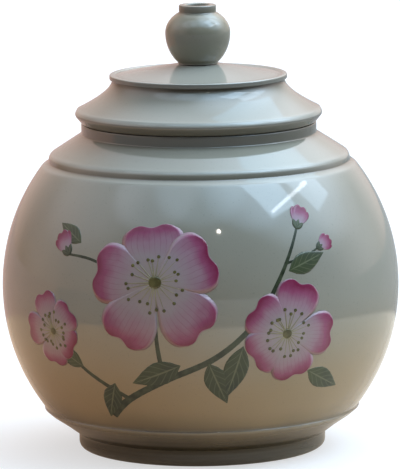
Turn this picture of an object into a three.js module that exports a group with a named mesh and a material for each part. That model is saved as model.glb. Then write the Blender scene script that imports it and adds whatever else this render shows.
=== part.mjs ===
// Lidded porcelain tea canister: a round-bellied jar, its stepped lid, the small vase-shaped knob
// luted on top of the lid, and the silicone seal that sits in a groove round the lid's spigot.
// Millimetres, +Z up, origin on the table at the centre of the foot ring.
import * as THREE from "three";
import { mergeVertices } from "three/addons/utils/BufferGeometryUtils.js";

// Jar: its height to the mouth, then its sizes from the table upwards
const JAR_HEIGHT = 140.2;
const FOOT_RADIUS = 53;
const FOOT_HEIGHT = 6.5;
const FOOT_ROUND = 3;
const FOOT_FILLET = 1.2;
const FOOT_RING_WIDTH = 8;
const FOOT_RECESS = 3;
const FOOT_INNER_ROUND = 1;
const UNDERSIDE_WIDTH = 12.4;
const UNDERSIDE_RISE = 8.8;
const UNDERSIDE_HOLLOW = 1;
const UNDERSIDE_SWEEP = 24;
const STEP_WIDTH = 2.5;
const STEP_HEIGHT = 2.2;
const STEP_ROUND = 1.4;
const STEP_ROLL = 0.6;
const BELLY_RADIUS = 85;
const BELLY_SHARE = 0.506;
const SHELF_WIDTH = 3.6;
const SHELF_RISE = 3;
const SHELF_LEAD = 1.6;
const SHELF_SWEEP = 20;
const SHELF_FILLET = 0.8;
const LEDGE_SETBACK = 0.5;
const LEDGE_HEIGHT = 2.9;
const LEDGE_ROUND = 0.7;
const SHOULDER_WIDTH = 13.8;
const SHOULDER_RISE = 9;
const NECK_FILLET = 0.8;
const NECK_HEIGHT = 4.5;
const NECK_WALL = 5.3;
const MOUTH_RADIUS = 45;
const MOUTH_ROUND = 0.8;
const WALL = 4.5;
const FLOOR = 5;

// Lid: its height over the seat, then its sizes from the seat upwards
const LID_HEIGHT = 24.5;
const SEAT_GAP = 0.3;
const SEAT_ROUND = 0.5;
const RIM_OVERHANG = 2.8;
const RIM_RISE = 3.4;
const RIM_ROUND = 2;
const FLARE_SWEEP = 0.6;
const ROOF_RADIUS = 38;
const ROOF_OVERHANG = 1.1;
const ROOF_EDGE = 2.2;
const ROOF_EDGE_ROUND = 0.9;
const ROOF_LIP = 1.8;
const ROOF_LIP_ROUND = 0.6;
const ROOF_DISH = 0.45;
const ROOF_RISE = 4.1;
const LID_WALL = 4.5;
const LID_HOLLOW_ROUND = 6;

// Spigot under the lid, and the silicone seal in its groove
const SPIGOT_CLEARANCE = 1.8;
const SPIGOT_WALL = 4;
const SPIGOT_LAND = 1.9;
const SPIGOT_LIP = 1.5;
const SPIGOT_ROUND = 0.8;
const GROOVE_DEPTH = 1.4;
const SEAL_HEIGHT = 5;
const SEAL_GAP = 0.3;
const SEAL_FINS = 2;
const FIN_ROOT = 1;
const FIN_TIP = 0.5;
const FIN_LIFT = 0.7;

// Knob: its height over the lid, then its sizes from the foot upwards
const KNOB_HEIGHT = 25.1;
const LUTING_GAP = 0.3;
const KNOB_SEAT_MARGIN = 0.8;
const KNOB_FOOT_RADIUS = 8.6;
const KNOB_FOOT_HEIGHT = 0.5;
const KNOB_FOOT_ROUND = 0.4;
const KNOB_RADIUS = 13.9;
const KNOB_SHARE = 0.59;
const COLLAR_HEIGHT = 3.2;
const COLLAR_WALL = 2.85;
const COLLAR_ROUND = 0.7;
const KNOB_MOUTH_RADIUS = 5.1;
const KNOB_WALL = 2.6;
const KNOB_FLOOR = 3;

// Facets: how far a chord may lie from its curve, and how many sides a turned piece has
const CHORD_ERROR = 0.15;
const HIDDEN_CHORD_ERROR = 0.25;
const JAR_SIDES = 60;
const KNOB_SIDES = 36;
const WELD = 1e-4;

// Levels and radii that follow from the sizes above; the lid's and the knob's are in their own frames
const underStepRadius = FOOT_RADIUS + UNDERSIDE_WIDTH;
const stepRadius = underStepRadius + STEP_WIDTH;
const bellyFootRadius = stepRadius - STEP_ROLL;
const neckRadius = MOUTH_RADIUS + NECK_WALL;
const shoulderRadius = neckRadius + SHOULDER_WIDTH;
const ledgeRadius = shoulderRadius + LEDGE_SETBACK;
const underStepZ = FOOT_HEIGHT + UNDERSIDE_RISE;
const stepZ = underStepZ + STEP_HEIGHT;
const bellyFootZ = stepZ + STEP_ROLL;
const neckZ = JAR_HEIGHT - NECK_HEIGHT;
const shoulderZ = neckZ - SHOULDER_RISE;
const ledgeZ = shoulderZ - LEDGE_HEIGHT;
const bellyTopRadius = ledgeRadius + SHELF_WIDTH;
const bellyTopZ = ledgeZ - SHELF_RISE;
const rimRadius = neckRadius + RIM_OVERHANG;
const roofZ = LID_HEIGHT - ROOF_RISE;
const roofEdgeZ = roofZ - ROOF_EDGE;
const roofDishRadius = ROOF_RADIUS - ROOF_LIP - 2 * ROOF_DISH;
const spigotRadius = MOUTH_RADIUS - SPIGOT_CLEARANCE;
const grooveRadius = spigotRadius - GROOVE_DEPTH;
const grooveTopZ = -SPIGOT_LAND;
const grooveBottomZ = grooveTopZ - SEAL_HEIGHT - 2 * SEAL_GAP;
const spigotZ = grooveBottomZ - SPIGOT_LIP;
const collarRadius = KNOB_MOUTH_RADIUS + COLLAR_WALL;
const collarZ = KNOB_HEIGHT - COLLAR_HEIGHT;

const QUARTER = Math.PI / 2;
const point = (radius, height) => new THREE.Vector2(radius, height);

// A corner of an outline: its radius from the axis, its height, and how far it is rounded.
const corner = (radius, height, round = 0) => ({ place: point(radius, height), round });

// Straight runs from corner to corner, each rounding limited by half of the runs beside it.
function runs(corners) {
  const curves = [];
  let start = corners[0].place;
  for (let i = 1; i < corners.length; i += 1) {
    const { place, round } = corners[i];
    const next = corners[i + 1]?.place;
    if (!next || round === 0) {
      curves.push(new THREE.LineCurve(start, place));
      start = place;
      continue;
    }
    const back = corners[i - 1].place.clone().sub(place);
    const ahead = next.clone().sub(place);
    const opening = Math.abs(Math.atan2(back.cross(ahead), back.dot(ahead)));
    const trim = Math.min(round / Math.tan(opening / 2), back.length() / 2, ahead.length() / 2);
    const enter = back.setLength(trim).add(place);
    const leave = ahead.setLength(trim).add(place);
    curves.push(new THREE.LineCurve(start, enter), new THREE.QuadraticBezierCurve(enter, place, leave));
    start = leave;
  }
  return curves;
}

// Half-height of the ellipse that swells from an end radius to a widest radius over a given rise.
function swell(endRadius, widestRadius, rise) {
  return rise / Math.sqrt(1 - (endRadius / widestRadius) ** 2);
}

// Bulging wall of a vessel: out from one point to its widest, a share of the way up, then in to another.
function belly(from, widest, share, to) {
  const level = from.y + share * (to.y - from.y);
  const lower = swell(from.x, widest, level - from.y);
  const upper = swell(to.x, widest, to.y - level);
  return {
    level,
    lower,
    upper,
    curves: [
      new THREE.EllipseCurve(0, level, widest, lower, -Math.acos(from.x / widest), 0),
      new THREE.EllipseCurve(0, level, widest, upper, 0, Math.acos(to.x / widest)),
    ],
  };
}

// Inside of a vessel, from its mouth down to its floor: two half-ellipses that meet at the widest level,
// kept under a ceiling and over a bed so that the wall is nowhere thinner than it should be.
function hollow({
  widest,
  level,
  lower,
  upper,
  mouth,
  floor,
  ceiling = () => Infinity,
  bed = () => -Infinity,
}) {
  const from = Math.acos(mouth / widest);
  const to = -Math.asin(Math.min(1, (level - floor) / lower));
  const length = (from - to) * Math.max(widest, lower, upper);
  const steps = Math.ceil(Math.sqrt((length * (from - to)) / (8 * HIDDEN_CHORD_ERROR)));
  const points = [];
  for (let i = 0; i <= steps; i += 1) {
    const angle = from + ((to - from) * i) / steps;
    const radius = widest * Math.cos(angle);
    const height = level + (angle > 0 ? upper : lower) * Math.sin(angle);
    points.push(point(radius, Math.max(Math.min(height, ceiling(radius)), bed(radius))));
  }
  points.push(point(0, floor));
  return points;
}

// How far a curve turns from end to end, in radians.
function turning(curve) {
  const looks = 24;
  let sum = 0;
  for (let i = 0; i < looks; i += 1) {
    const here = curve.getTangent(i / looks);
    const next = curve.getTangent((i + 1) / looks);
    sum += Math.abs(Math.atan2(here.cross(next), here.dot(next)));
  }
  return sum;
}

// Points along a chain of curves, as few as keep every chord within the error of its curve.
function trace(curves) {
  const points = [];
  for (const curve of curves) {
    const steps = Math.ceil(Math.sqrt((curve.getLength() * turning(curve)) / (8 * CHORD_ERROR)));
    for (const next of curve.getPoints(Math.max(1, steps))) {
      const last = points.at(-1);
      if (!last || last.distanceTo(next) > WELD) points.push(next);
    }
  }
  return points;
}

// Turns an outline round the Z axis into one closed solid.
function revolve(outline, sides) {
  const lathe = new THREE.LatheGeometry(outline, sides).rotateX(QUARTER);
  lathe.deleteAttribute("normal");
  lathe.deleteAttribute("uv");
  const solid = mergeVertices(lathe, WELD);
  const corners = Array.from(solid.index.array);
  const faces = [];
  for (let i = 0; i < corners.length; i += 3) {
    const [a, b, c] = corners.slice(i, i + 3);
    if (a !== b && b !== c && c !== a) faces.push(a, b, c);
  }
  solid.setIndex(faces);
  solid.computeVertexNormals();
  return solid;
}

// Jar: foot ring, underside, rolled step, belly, shelf, upright ledge, shoulder, neck, and the tea space.
function jarOutline() {
  const recessRadius = FOOT_RADIUS - FOOT_RING_WIDTH;
  const shoulderSlope = SHOULDER_RISE / SHOULDER_WIDTH;
  const undersideSlope = UNDERSIDE_RISE / UNDERSIDE_WIDTH;
  const undersideLean = Math.atan(undersideSlope);
  const midRadius = FOOT_RADIUS + UNDERSIDE_WIDTH / 2 - UNDERSIDE_HOLLOW * Math.sin(undersideLean);
  const midZ = FOOT_HEIGHT + UNDERSIDE_RISE / 2 + UNDERSIDE_HOLLOW * Math.cos(undersideLean);
  const bellyFoot = point(bellyFootRadius, bellyFootZ);
  const bellyTop = point(bellyTopRadius, bellyTopZ);
  const wall = belly(bellyFoot, BELLY_RADIUS, BELLY_SHARE, bellyTop);
  const shelfLead = wall.curves[1].getTangent(1).setLength(SHELF_LEAD).add(bellyTop);
  const foot = runs([
    corner(0, FOOT_RECESS),
    corner(recessRadius, FOOT_RECESS, FOOT_INNER_ROUND),
    corner(recessRadius, 0, FOOT_INNER_ROUND),
    corner(FOOT_RADIUS, 0, FOOT_ROUND),
    corner(FOOT_RADIUS, FOOT_HEIGHT, FOOT_FILLET),
    corner(midRadius, midZ, UNDERSIDE_SWEEP),
    corner(underStepRadius, underStepZ, STEP_ROUND),
    corner(stepRadius, stepZ, STEP_ROLL),
    corner(bellyFoot.x, bellyFoot.y),
  ]);
  const bedRise = (WALL + UNDERSIDE_HOLLOW) * Math.hypot(1, undersideSlope);
  const inside = hollow({
    widest: BELLY_RADIUS - WALL,
    level: wall.level,
    lower: wall.lower - WALL,
    upper: wall.upper - WALL,
    mouth: MOUTH_RADIUS,
    floor: FOOT_RECESS + FLOOR,
    ceiling: (r) => neckZ - (r - neckRadius) * shoulderSlope - WALL * Math.hypot(1, shoulderSlope),
    bed: (r) => FOOT_HEIGHT + (r - FOOT_RADIUS) * undersideSlope + bedRise,
  });
  const top = runs([
    corner(bellyTop.x, bellyTop.y),
    corner(shelfLead.x, shelfLead.y, SHELF_SWEEP),
    corner(ledgeRadius, ledgeZ, SHELF_FILLET),
    corner(shoulderRadius, shoulderZ, LEDGE_ROUND),
    corner(neckRadius, neckZ, NECK_FILLET),
    corner(neckRadius, JAR_HEIGHT, MOUTH_ROUND),
    corner(MOUTH_RADIUS, JAR_HEIGHT, MOUTH_ROUND),
    corner(inside[0].x, inside[0].y),
  ]);
  return [...trace([...foot, ...wall.curves, ...top]), ...inside.slice(1)];
}

// Lid, with its seat at height 0: hollow, spigot with the seal's groove, rim, flared side and lipped roof.
function lidOutline() {
  const spigotInside = spigotRadius - SPIGOT_WALL;
  const ceilingRadius = ROOF_RADIUS - LID_WALL;
  const rimTop = point(rimRadius - RIM_ROUND / 2, RIM_RISE + RIM_ROUND);
  const flareTop = point(ROOF_RADIUS - ROOF_OVERHANG, roofEdgeZ);
  const flareBend = point(flareTop.x, rimTop.y + FLARE_SWEEP * (flareTop.y - rimTop.y));
  const under = runs([
    corner(0, LID_HEIGHT - LID_WALL),
    corner(ceilingRadius, roofZ - LID_WALL, LID_HOLLOW_ROUND),
    corner(spigotInside, 0, LID_HOLLOW_ROUND),
    corner(spigotInside, spigotZ, SPIGOT_ROUND),
    corner(spigotRadius, spigotZ, SPIGOT_ROUND),
    corner(spigotRadius, grooveBottomZ),
    corner(grooveRadius, grooveBottomZ),
    corner(grooveRadius, grooveTopZ),
    corner(spigotRadius, grooveTopZ),
    corner(spigotRadius, 0),
    corner(neckRadius, 0, SEAT_ROUND),
    corner(rimRadius, RIM_RISE, RIM_ROUND),
    corner(rimTop.x, rimTop.y),
  ]);
  const roof = runs([
    corner(flareTop.x, flareTop.y),
    corner(ROOF_RADIUS, roofEdgeZ, ROOF_EDGE_ROUND),
    corner(ROOF_RADIUS, roofZ, ROOF_EDGE_ROUND),
    corner(ROOF_RADIUS - ROOF_LIP, roofZ, ROOF_LIP_ROUND),
    corner(roofDishRadius, roofZ - ROOF_DISH, ROOF_LIP_ROUND),
    corner(KNOB_FOOT_RADIUS + KNOB_SEAT_MARGIN, LID_HEIGHT),
    corner(0, LID_HEIGHT),
  ]);
  return trace([...under, new THREE.QuadraticBezierCurve(rimTop, flareBend, flareTop), ...roof]);
}

// Seal, in the lid's frame: a band that fills the groove, with fins that lean up to the mouth of the jar.
function sealOutline() {
  const inside = grooveRadius + SEAL_GAP;
  const outside = spigotRadius - SEAL_GAP;
  const tip = MOUTH_RADIUS - SEAL_GAP;
  const bottom = grooveBottomZ + SEAL_GAP;
  const pitch = SEAL_HEIGHT / SEAL_FINS;
  const firstRoot = bottom + (pitch - FIN_ROOT) / 2;
  const points = [point(inside, bottom), point(outside, bottom)];
  for (let fin = 0; fin < SEAL_FINS; fin += 1) {
    const root = firstRoot + pitch * fin;
    const rise = root + FIN_LIFT;
    points.push(point(outside, root), point(tip, rise));
    points.push(point(tip, rise + FIN_TIP), point(outside, root + FIN_ROOT));
  }
  points.push(point(outside, bottom + SEAL_HEIGHT), point(inside, bottom + SEAL_HEIGHT), points[0].clone());
  return points;
}

// Knob, with its foot at height 0: a little vase with a round belly, a short collar and an open mouth.
function knobOutline() {
  const bellyFoot = point(KNOB_FOOT_RADIUS, KNOB_FOOT_HEIGHT);
  const collarFoot = point(collarRadius, collarZ);
  const wall = belly(bellyFoot, KNOB_RADIUS, KNOB_SHARE, collarFoot);
  const foot = runs([
    corner(0, 0),
    corner(KNOB_FOOT_RADIUS, 0, KNOB_FOOT_ROUND),
    corner(bellyFoot.x, bellyFoot.y),
  ]);
  const inside = hollow({
    widest: KNOB_RADIUS - KNOB_WALL,
    level: wall.level,
    lower: wall.lower - KNOB_WALL,
    upper: wall.upper - KNOB_WALL,
    mouth: KNOB_MOUTH_RADIUS,
    floor: KNOB_FLOOR,
  });
  const collar = runs([
    corner(collarFoot.x, collarFoot.y),
    corner(collarRadius, KNOB_HEIGHT, COLLAR_ROUND),
    corner(KNOB_MOUTH_RADIUS, KNOB_HEIGHT, COLLAR_ROUND),
    corner(inside[0].x, inside[0].y),
  ]);
  return [...trace([...foot, ...wall.curves, ...collar]), ...inside.slice(1)];
}

// One named, coloured piece
function piece(name, outline, sides, material) {
  const mesh = new THREE.Mesh(revolve(outline, sides), material);
  mesh.name = name;
  return mesh;
}

const bodyGlaze = new THREE.MeshStandardMaterial({ color: "#a3a196", roughness: 0.12, metalness: 0 });
const lidGlaze = new THREE.MeshStandardMaterial({ color: "#a5a59b", roughness: 0.12, metalness: 0 });
const knobGlaze = new THREE.MeshStandardMaterial({ color: "#9a9b90", roughness: 0.14, metalness: 0 });
const silicone = new THREE.MeshStandardMaterial({ color: "#d9d8d0", roughness: 0.55, metalness: 0 });

const knob = new THREE.Group();
knob.position.z = LID_HEIGHT + LUTING_GAP;
knob.add(piece("knob", knobOutline(), KNOB_SIDES, knobGlaze));

const lid = new THREE.Group();
lid.position.z = JAR_HEIGHT + SEAT_GAP;
lid.add(piece("lid", lidOutline(), JAR_SIDES, lidGlaze));
lid.add(piece("seal_ring", sealOutline(), JAR_SIDES, silicone));
lid.add(knob);

const canister = new THREE.Group();
canister.name = "tea_canister";
canister.add(piece("jar_body", jarOutline(), JAR_SIDES, bodyGlaze));
canister.add(lid);

export default canister;
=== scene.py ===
"""Looks of a lidded porcelain tea canister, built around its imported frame.

Fine turned pieces stand for the faceted jar, lid, seal and knob, and an enamelled branch in blossom is
pressed onto the front of the belly. Sizes are in millimetres, Blender's meshes in metres, +Z is up and
the decorated front faces -Y.
"""

import logging
import math
import random
from collections import defaultdict
from collections.abc import Callable
from dataclasses import dataclass, field
from enum import Enum
from typing import Any

import bpy
import numpy as np
from mathutils import Matrix, Vector

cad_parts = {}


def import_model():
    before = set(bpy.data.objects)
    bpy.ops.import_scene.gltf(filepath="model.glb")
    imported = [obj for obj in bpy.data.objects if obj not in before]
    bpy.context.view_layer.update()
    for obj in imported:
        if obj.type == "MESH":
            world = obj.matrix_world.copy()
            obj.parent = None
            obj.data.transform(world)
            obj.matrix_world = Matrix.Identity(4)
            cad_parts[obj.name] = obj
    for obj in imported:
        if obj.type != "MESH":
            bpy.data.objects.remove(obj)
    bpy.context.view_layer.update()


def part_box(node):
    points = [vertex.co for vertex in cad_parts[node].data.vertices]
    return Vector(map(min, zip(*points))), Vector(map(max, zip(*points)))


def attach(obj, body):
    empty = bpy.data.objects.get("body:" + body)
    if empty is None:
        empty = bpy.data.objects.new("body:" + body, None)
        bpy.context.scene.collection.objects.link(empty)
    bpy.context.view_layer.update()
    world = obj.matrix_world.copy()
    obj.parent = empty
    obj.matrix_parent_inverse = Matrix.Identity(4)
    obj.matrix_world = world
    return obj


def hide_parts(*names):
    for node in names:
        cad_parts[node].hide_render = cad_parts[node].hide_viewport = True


LOG = logging.getLogger("tea_canister")
MM = 0.001
IMAGE_WIDTH = 400
IMAGE_HEIGHT = 469
MERGE_DISTANCE = 2e-7
BELLY_SIZES = ("Belly radius", "Belly half height", "Belly level")

Colour = tuple[float, float, float, float]
Triple = tuple[float, float, float]
Span = tuple[float, float]
Names = tuple[str, ...]
Node = bpy.types.Node
Socket = bpy.types.NodeSocket
Inputs = dict[str | int, Any]


def colour(code: str) -> Colour:
    """Turns a screen colour into the linear colour that Blender's sockets hold.

    Args:
        code: Six hexadecimal digits, red first.

    Returns:
        Linear red, green and blue, and full opacity.
    """
    parts = [int(code[start : start + 2], 16) / 255 for start in (0, 2, 4)]
    red, green, blue = (
        part / 12.92 if part <= 0.04045 else ((part + 0.055) / 1.055) ** 2.4 for part in parts
    )
    return (red, green, blue, 1.0)


def opaque(light: Triple) -> Colour:
    """Returns a linear colour with full opacity."""
    return (*light, 1.0)


def grey(level: float) -> Colour:
    """Returns the opaque grey of a linear level."""
    return (level, level, level, 1.0)


class Body(Enum):
    """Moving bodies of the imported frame."""

    JAR = "jar"
    SEAL = "seal"
    LID = "lid"


class Slot(Enum):
    """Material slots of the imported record."""

    JAR = "jar_glaze"
    LID = "lid_glaze"
    KNOB = "knob_glaze"
    SEAL = "seal_silicone"


class Tree:
    """Adds and joins the nodes of one shader, world or geometry tree."""

    def __init__(self, tree: bpy.types.NodeTree) -> None:
        """Keeps the tree that the nodes go into."""
        self.tree = tree

    def add(self, kind: str, inputs: Inputs | None = None, **settings: Any) -> Node:
        """Adds one node.

        Args:
            kind: The node's type.
            inputs: Values or output sockets for the node's inputs, by name or number.
            settings: The node's own properties.

        Returns:
            The new node.
        """
        node = self.tree.nodes.new(kind)
        for name, value in settings.items():
            setattr(node, name, value)
        for name, value in (inputs or {}).items():
            if isinstance(value, Socket):
                self.tree.links.new(value, node.inputs[name])
            else:
                node.inputs[name].default_value = value
        return node

    def out(self, kind: str, inputs: Inputs | None = None, **settings: Any) -> Socket:
        """Adds one node, as add does, and returns its first output."""
        return self.add(kind, inputs, **settings).outputs[0]

    def math(self, operation: str, *values: Any) -> Socket:
        """Adds a Math node and returns its result."""
        return self.out("ShaderNodeMath", dict(enumerate(values)), operation=operation)

    def vector(self, operation: str, *values: Any) -> Socket:
        """Adds a Vector Math node and returns its vector."""
        return self.out("ShaderNodeVectorMath", dict(enumerate(values)), operation=operation)

    def measure(self, operation: str, *values: Any) -> Socket:
        """Adds a Vector Math node and returns its number, such as a length."""
        node = self.add("ShaderNodeVectorMath", dict(enumerate(values)), operation=operation)
        return node.outputs["Value"]

    def parts(self, vector: Socket) -> bpy.types.bpy_prop_collection:
        """Splits a vector and returns its parts by their letters."""
        return self.add("ShaderNodeSeparateXYZ", {0: vector}).outputs

    def mix(self, share: Any, first: Any, second: Any, blend: str = "MIX") -> Socket:
        """Mixes two colours.

        Args:
            share: How much of the second colour shows.
            first: The colour at share 0.
            second: The colour at share 1.
            blend: The way that the second colour is laid over the first.

        Returns:
            The mixed colour.
        """
        inputs = {0: share, 6: first, 7: second}
        return self.add("ShaderNodeMix", inputs, data_type="RGBA", blend_type=blend).outputs[2]

    def ramp(self, value: Any, low: float, high: float, start: float = 0.0, end: float = 1.0) -> Socket:
        """Eases a value from start to end while it goes from low to high.

        Args:
            value: The value to read.
            low: Where the change begins.
            high: Where the change is complete.
            start: The result at the low end.
            end: The result at the high end.

        Returns:
            The eased value.
        """
        inputs = {"Value": value, 1: low, 2: high, 3: start, 4: end}
        return self.out("ShaderNodeMapRange", inputs, interpolation_type="SMOOTHSTEP")

    def noise(self, place: Socket, scale: float, detail: float = 2.0) -> Socket:
        """Adds a Noise texture, about 0.5 in the middle, and returns its value."""
        return self.out("ShaderNodeTexNoise", {"Vector": place, "Scale": scale, "Detail": detail})

    def patches(
        self,
        noise: Socket,
        start: float = 0.0,
        end: float = 1.0,
        low: float = 0.3,
        high: float = 0.7,
    ) -> Socket:
        """Eases the usual range of a noise, from low to high, into one from start to end."""
        return self.ramp(noise, low, high, start, end)

    def stir(self, value: Socket, noise: Socket, reach: float) -> Socket:
        """Moves a value up and down by a noise, within half of a reach each way."""
        return self.math("MULTIPLY_ADD", self.math("SUBTRACT", noise, 0.5), reach, value)

    def bump(self, height: Socket, strength: float, depth: float) -> Socket:
        """Adds a Bump node for a height of so many millimetres and returns its normal."""
        inputs = {"Strength": strength, "Distance": depth * MM, "Height": height}
        return self.out("ShaderNodeBump", inputs)

    def attribute(self, name: str) -> Socket:
        """Reads one of the piece's own attributes in a shader."""
        return self.add("ShaderNodeAttribute", attribute_name=name).outputs["Fac"]

    def place(self) -> Socket:
        """Returns the shaded point's place by the piece's Object coordinates."""
        return self.add("ShaderNodeTexCoord").outputs["Object"]

    def seen(self, mirrored: float) -> Socket:
        """Tells rays that show the background from rays that light the canister.

        Args:
            mirrored: How much of the background glossy surfaces show.

        Returns:
            1 for rays from the camera or through glass, less for mirrored rays and 0 for the rest.
        """
        path = self.add("ShaderNodeLightPath").outputs
        straight = self.math("MAXIMUM", path["Is Camera Ray"], path["Is Transmission Ray"])
        return self.math("MAXIMUM", straight, self.math("MULTIPLY", path["Is Glossy Ray"], mirrored))


@dataclass(frozen=True)
class Finish:
    """A procedural finish, which reads a piece's Object coordinates and its own attributes."""

    name: str

    def look(self, tree: Tree) -> Inputs:
        """Returns what goes into the inputs of the finish's Principled shader."""
        raise NotImplementedError

    def material(self) -> bpy.types.Material:
        """Builds the finish's nodes.

        Returns:
            The node material.
        """
        material = bpy.data.materials.new(self.name)
        material.use_nodes = True
        material.node_tree.nodes.clear()
        tree = Tree(material.node_tree)
        shader = tree.out("ShaderNodeBsdfPrincipled", self.look(tree))
        tree.add("ShaderNodeOutputMaterial", {"Surface": shader})
        return material


@dataclass(frozen=True)
class Glaze(Finish):
    """Glossy celadon glaze, bare where it was wiped, with painted light and shade.

    Low down it is warmer: painted warm reflection of a table, partly the glaze's own tone. The foot is
    darkened as painted shade. It is paler where it runs thinly over edges, and paler on the lid's roof
    as painted light from above. It is darker where it gathers in corners, partly as painted shade, and
    darker on the neck, the ledge, under the lid's rim, at the roof's edge and on the knob's collar as
    painted shade. Levels, the drift of the levels and the depth of the waves are in millimetres.
    """

    high: str = "939082"
    # Warmer colour low down: painted warm reflection of a table, partly the glaze's own tone.
    low: str = "978462"
    # Dark colour at the foot: painted shade under the belly and the step.
    foot: str = "3f3823"
    # Paler colour for glaze running thinly over edges, and painted light on the lid's roof.
    thin_and_lit: str = "b3b2a8"
    # Darker colour for glaze gathered in corners and for specks, and painted shade in corners and on
    # the neck, ledge, rim, roof edge and collar.
    pooled_and_shaded: str = "5a5445"
    biscuit: str = "b9ab98"
    grit: str = "8f8271"
    # The foot's painted shade fades out between these two levels.
    foot_level: float = 7.0
    step_level: float = 30.0
    # Between these levels the warm colour low down, partly painted reflection, gives way to the cool
    # one.
    warm_level: float = 34.0
    cool_level: float = 74.0
    drift: float = 16.0
    drift_scale: float = 16.0
    cloud_scale: float = 30.0
    cloud_tones: Span = (0.975, 1.02)
    fleck_scale: float = 1400.0
    fleck_levels: Span = (0.66, 0.76)
    fleck_share: float = 0.22
    thin_and_lit_share: float = 0.42
    pool_and_shade_share: float = 0.7
    grit_scale: float = 900.0
    gloss_scale: float = 120.0
    roughness: Span = (0.045, 0.075)
    foot_dullness: float = 0.15
    bare_roughness: float = 0.7
    wave_scale: float = 36.0
    wave_strength: float = 0.12
    wave_depth: float = 0.6
    index: float = 1.75

    def look(self, tree: Tree) -> Inputs:
        """Mixes the glaze's colour, roughness, waves and index.

        Args:
            tree: The material's tree.

        Returns:
            What goes into the inputs of the Principled shader.
        """
        place = tree.place()
        height = tree.parts(place)["Z"]
        level = tree.stir(height, tree.noise(place, self.drift_scale), self.drift * MM)
        # Warmer low down, partly as painted warm reflection of a table.
        cool = tree.ramp(level, self.warm_level * MM, self.cool_level * MM)
        body = tree.mix(cool, colour(self.low), colour(self.high))
        # Painted shade: darker towards the foot.
        rise = (self.foot_level * MM, self.step_level * MM)
        body = tree.mix(tree.ramp(level, *rise), colour(self.foot), body)
        cloud = tree.patches(tree.noise(place, self.cloud_scale, detail=3.0), *self.cloud_tones)
        body = tree.mix(1.0, body, cloud, "MULTIPLY")
        specks = tree.noise(place, self.fleck_scale, detail=1.0)
        fleck = tree.ramp(specks, *self.fleck_levels, 0.0, self.fleck_share)
        body = tree.mix(fleck, body, colour(self.pooled_and_shaded))
        # Paler where glaze runs thinly over edges, and painted light on the lid's roof.
        thin_and_lit = tree.math("MULTIPLY", tree.attribute("thin_and_lit"), self.thin_and_lit_share)
        body = tree.mix(thin_and_lit, body, colour(self.thin_and_lit))
        # Darker where glaze gathers in corners, and painted shade on the neck, ledge, rim, roof edge
        # and collar.
        pool_and_shade = tree.math("MULTIPLY", tree.attribute("pool_and_shade"), self.pool_and_shade_share)
        body = tree.mix(pool_and_shade, body, colour(self.pooled_and_shaded))
        bare = tree.attribute("bare")
        grain = tree.noise(place, self.grit_scale, detail=4.0)
        clay = tree.mix(grain, colour(self.grit), colour(self.biscuit))
        gloss = tree.patches(tree.noise(place, self.gloss_scale, detail=3.0), *self.roughness, low=0.35)
        dull = tree.math("MAXIMUM", bare, tree.ramp(level, *rise, self.foot_dullness, 0.0))
        wave = tree.noise(place, self.wave_scale, detail=1.0)
        return {
            "Base Color": tree.mix(bare, body, clay),
            "Roughness": tree.math("MULTIPLY_ADD", dull, self.bare_roughness, gloss),
            "Normal": tree.bump(wave, self.wave_strength, self.wave_depth),
            "IOR": self.index,
        }


@dataclass(frozen=True)
class Silicone(Finish):
    """Milky silicone with a dusty satin skin; its depths are in millimetres."""

    name: str = "milky_silicone"
    pale: str = "dcdad2"
    dusty: str = "c6c3b8"
    dust_scale: float = 160.0
    sheen_scale: float = 420.0
    roughness: Span = (0.38, 0.55)
    pore_scale: float = 1500.0
    pore_strength: float = 0.15
    pore_depth: float = 0.2
    milkiness: float = 0.25
    milk_depths: Triple = (2.0, 2.0, 1.8)

    def look(self, tree: Tree) -> Inputs:
        """Mixes the silicone's colour, roughness, pores and milky depth.

        Args:
            tree: The material's tree.

        Returns:
            What goes into the inputs of the Principled shader.
        """
        place = tree.place()
        dust = tree.patches(tree.noise(place, self.dust_scale, detail=4.0), low=0.35)
        sheen = tree.noise(place, self.sheen_scale, detail=3.0)
        pores = tree.noise(place, self.pore_scale)
        return {
            "Base Color": tree.mix(dust, colour(self.pale), colour(self.dusty)),
            "Roughness": tree.patches(sheen, *self.roughness),
            "Normal": tree.bump(pores, self.pore_strength, self.pore_depth),
            "Subsurface Weight": self.milkiness,
            "Subsurface Radius": [depth * MM for depth in self.milk_depths],
        }


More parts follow.
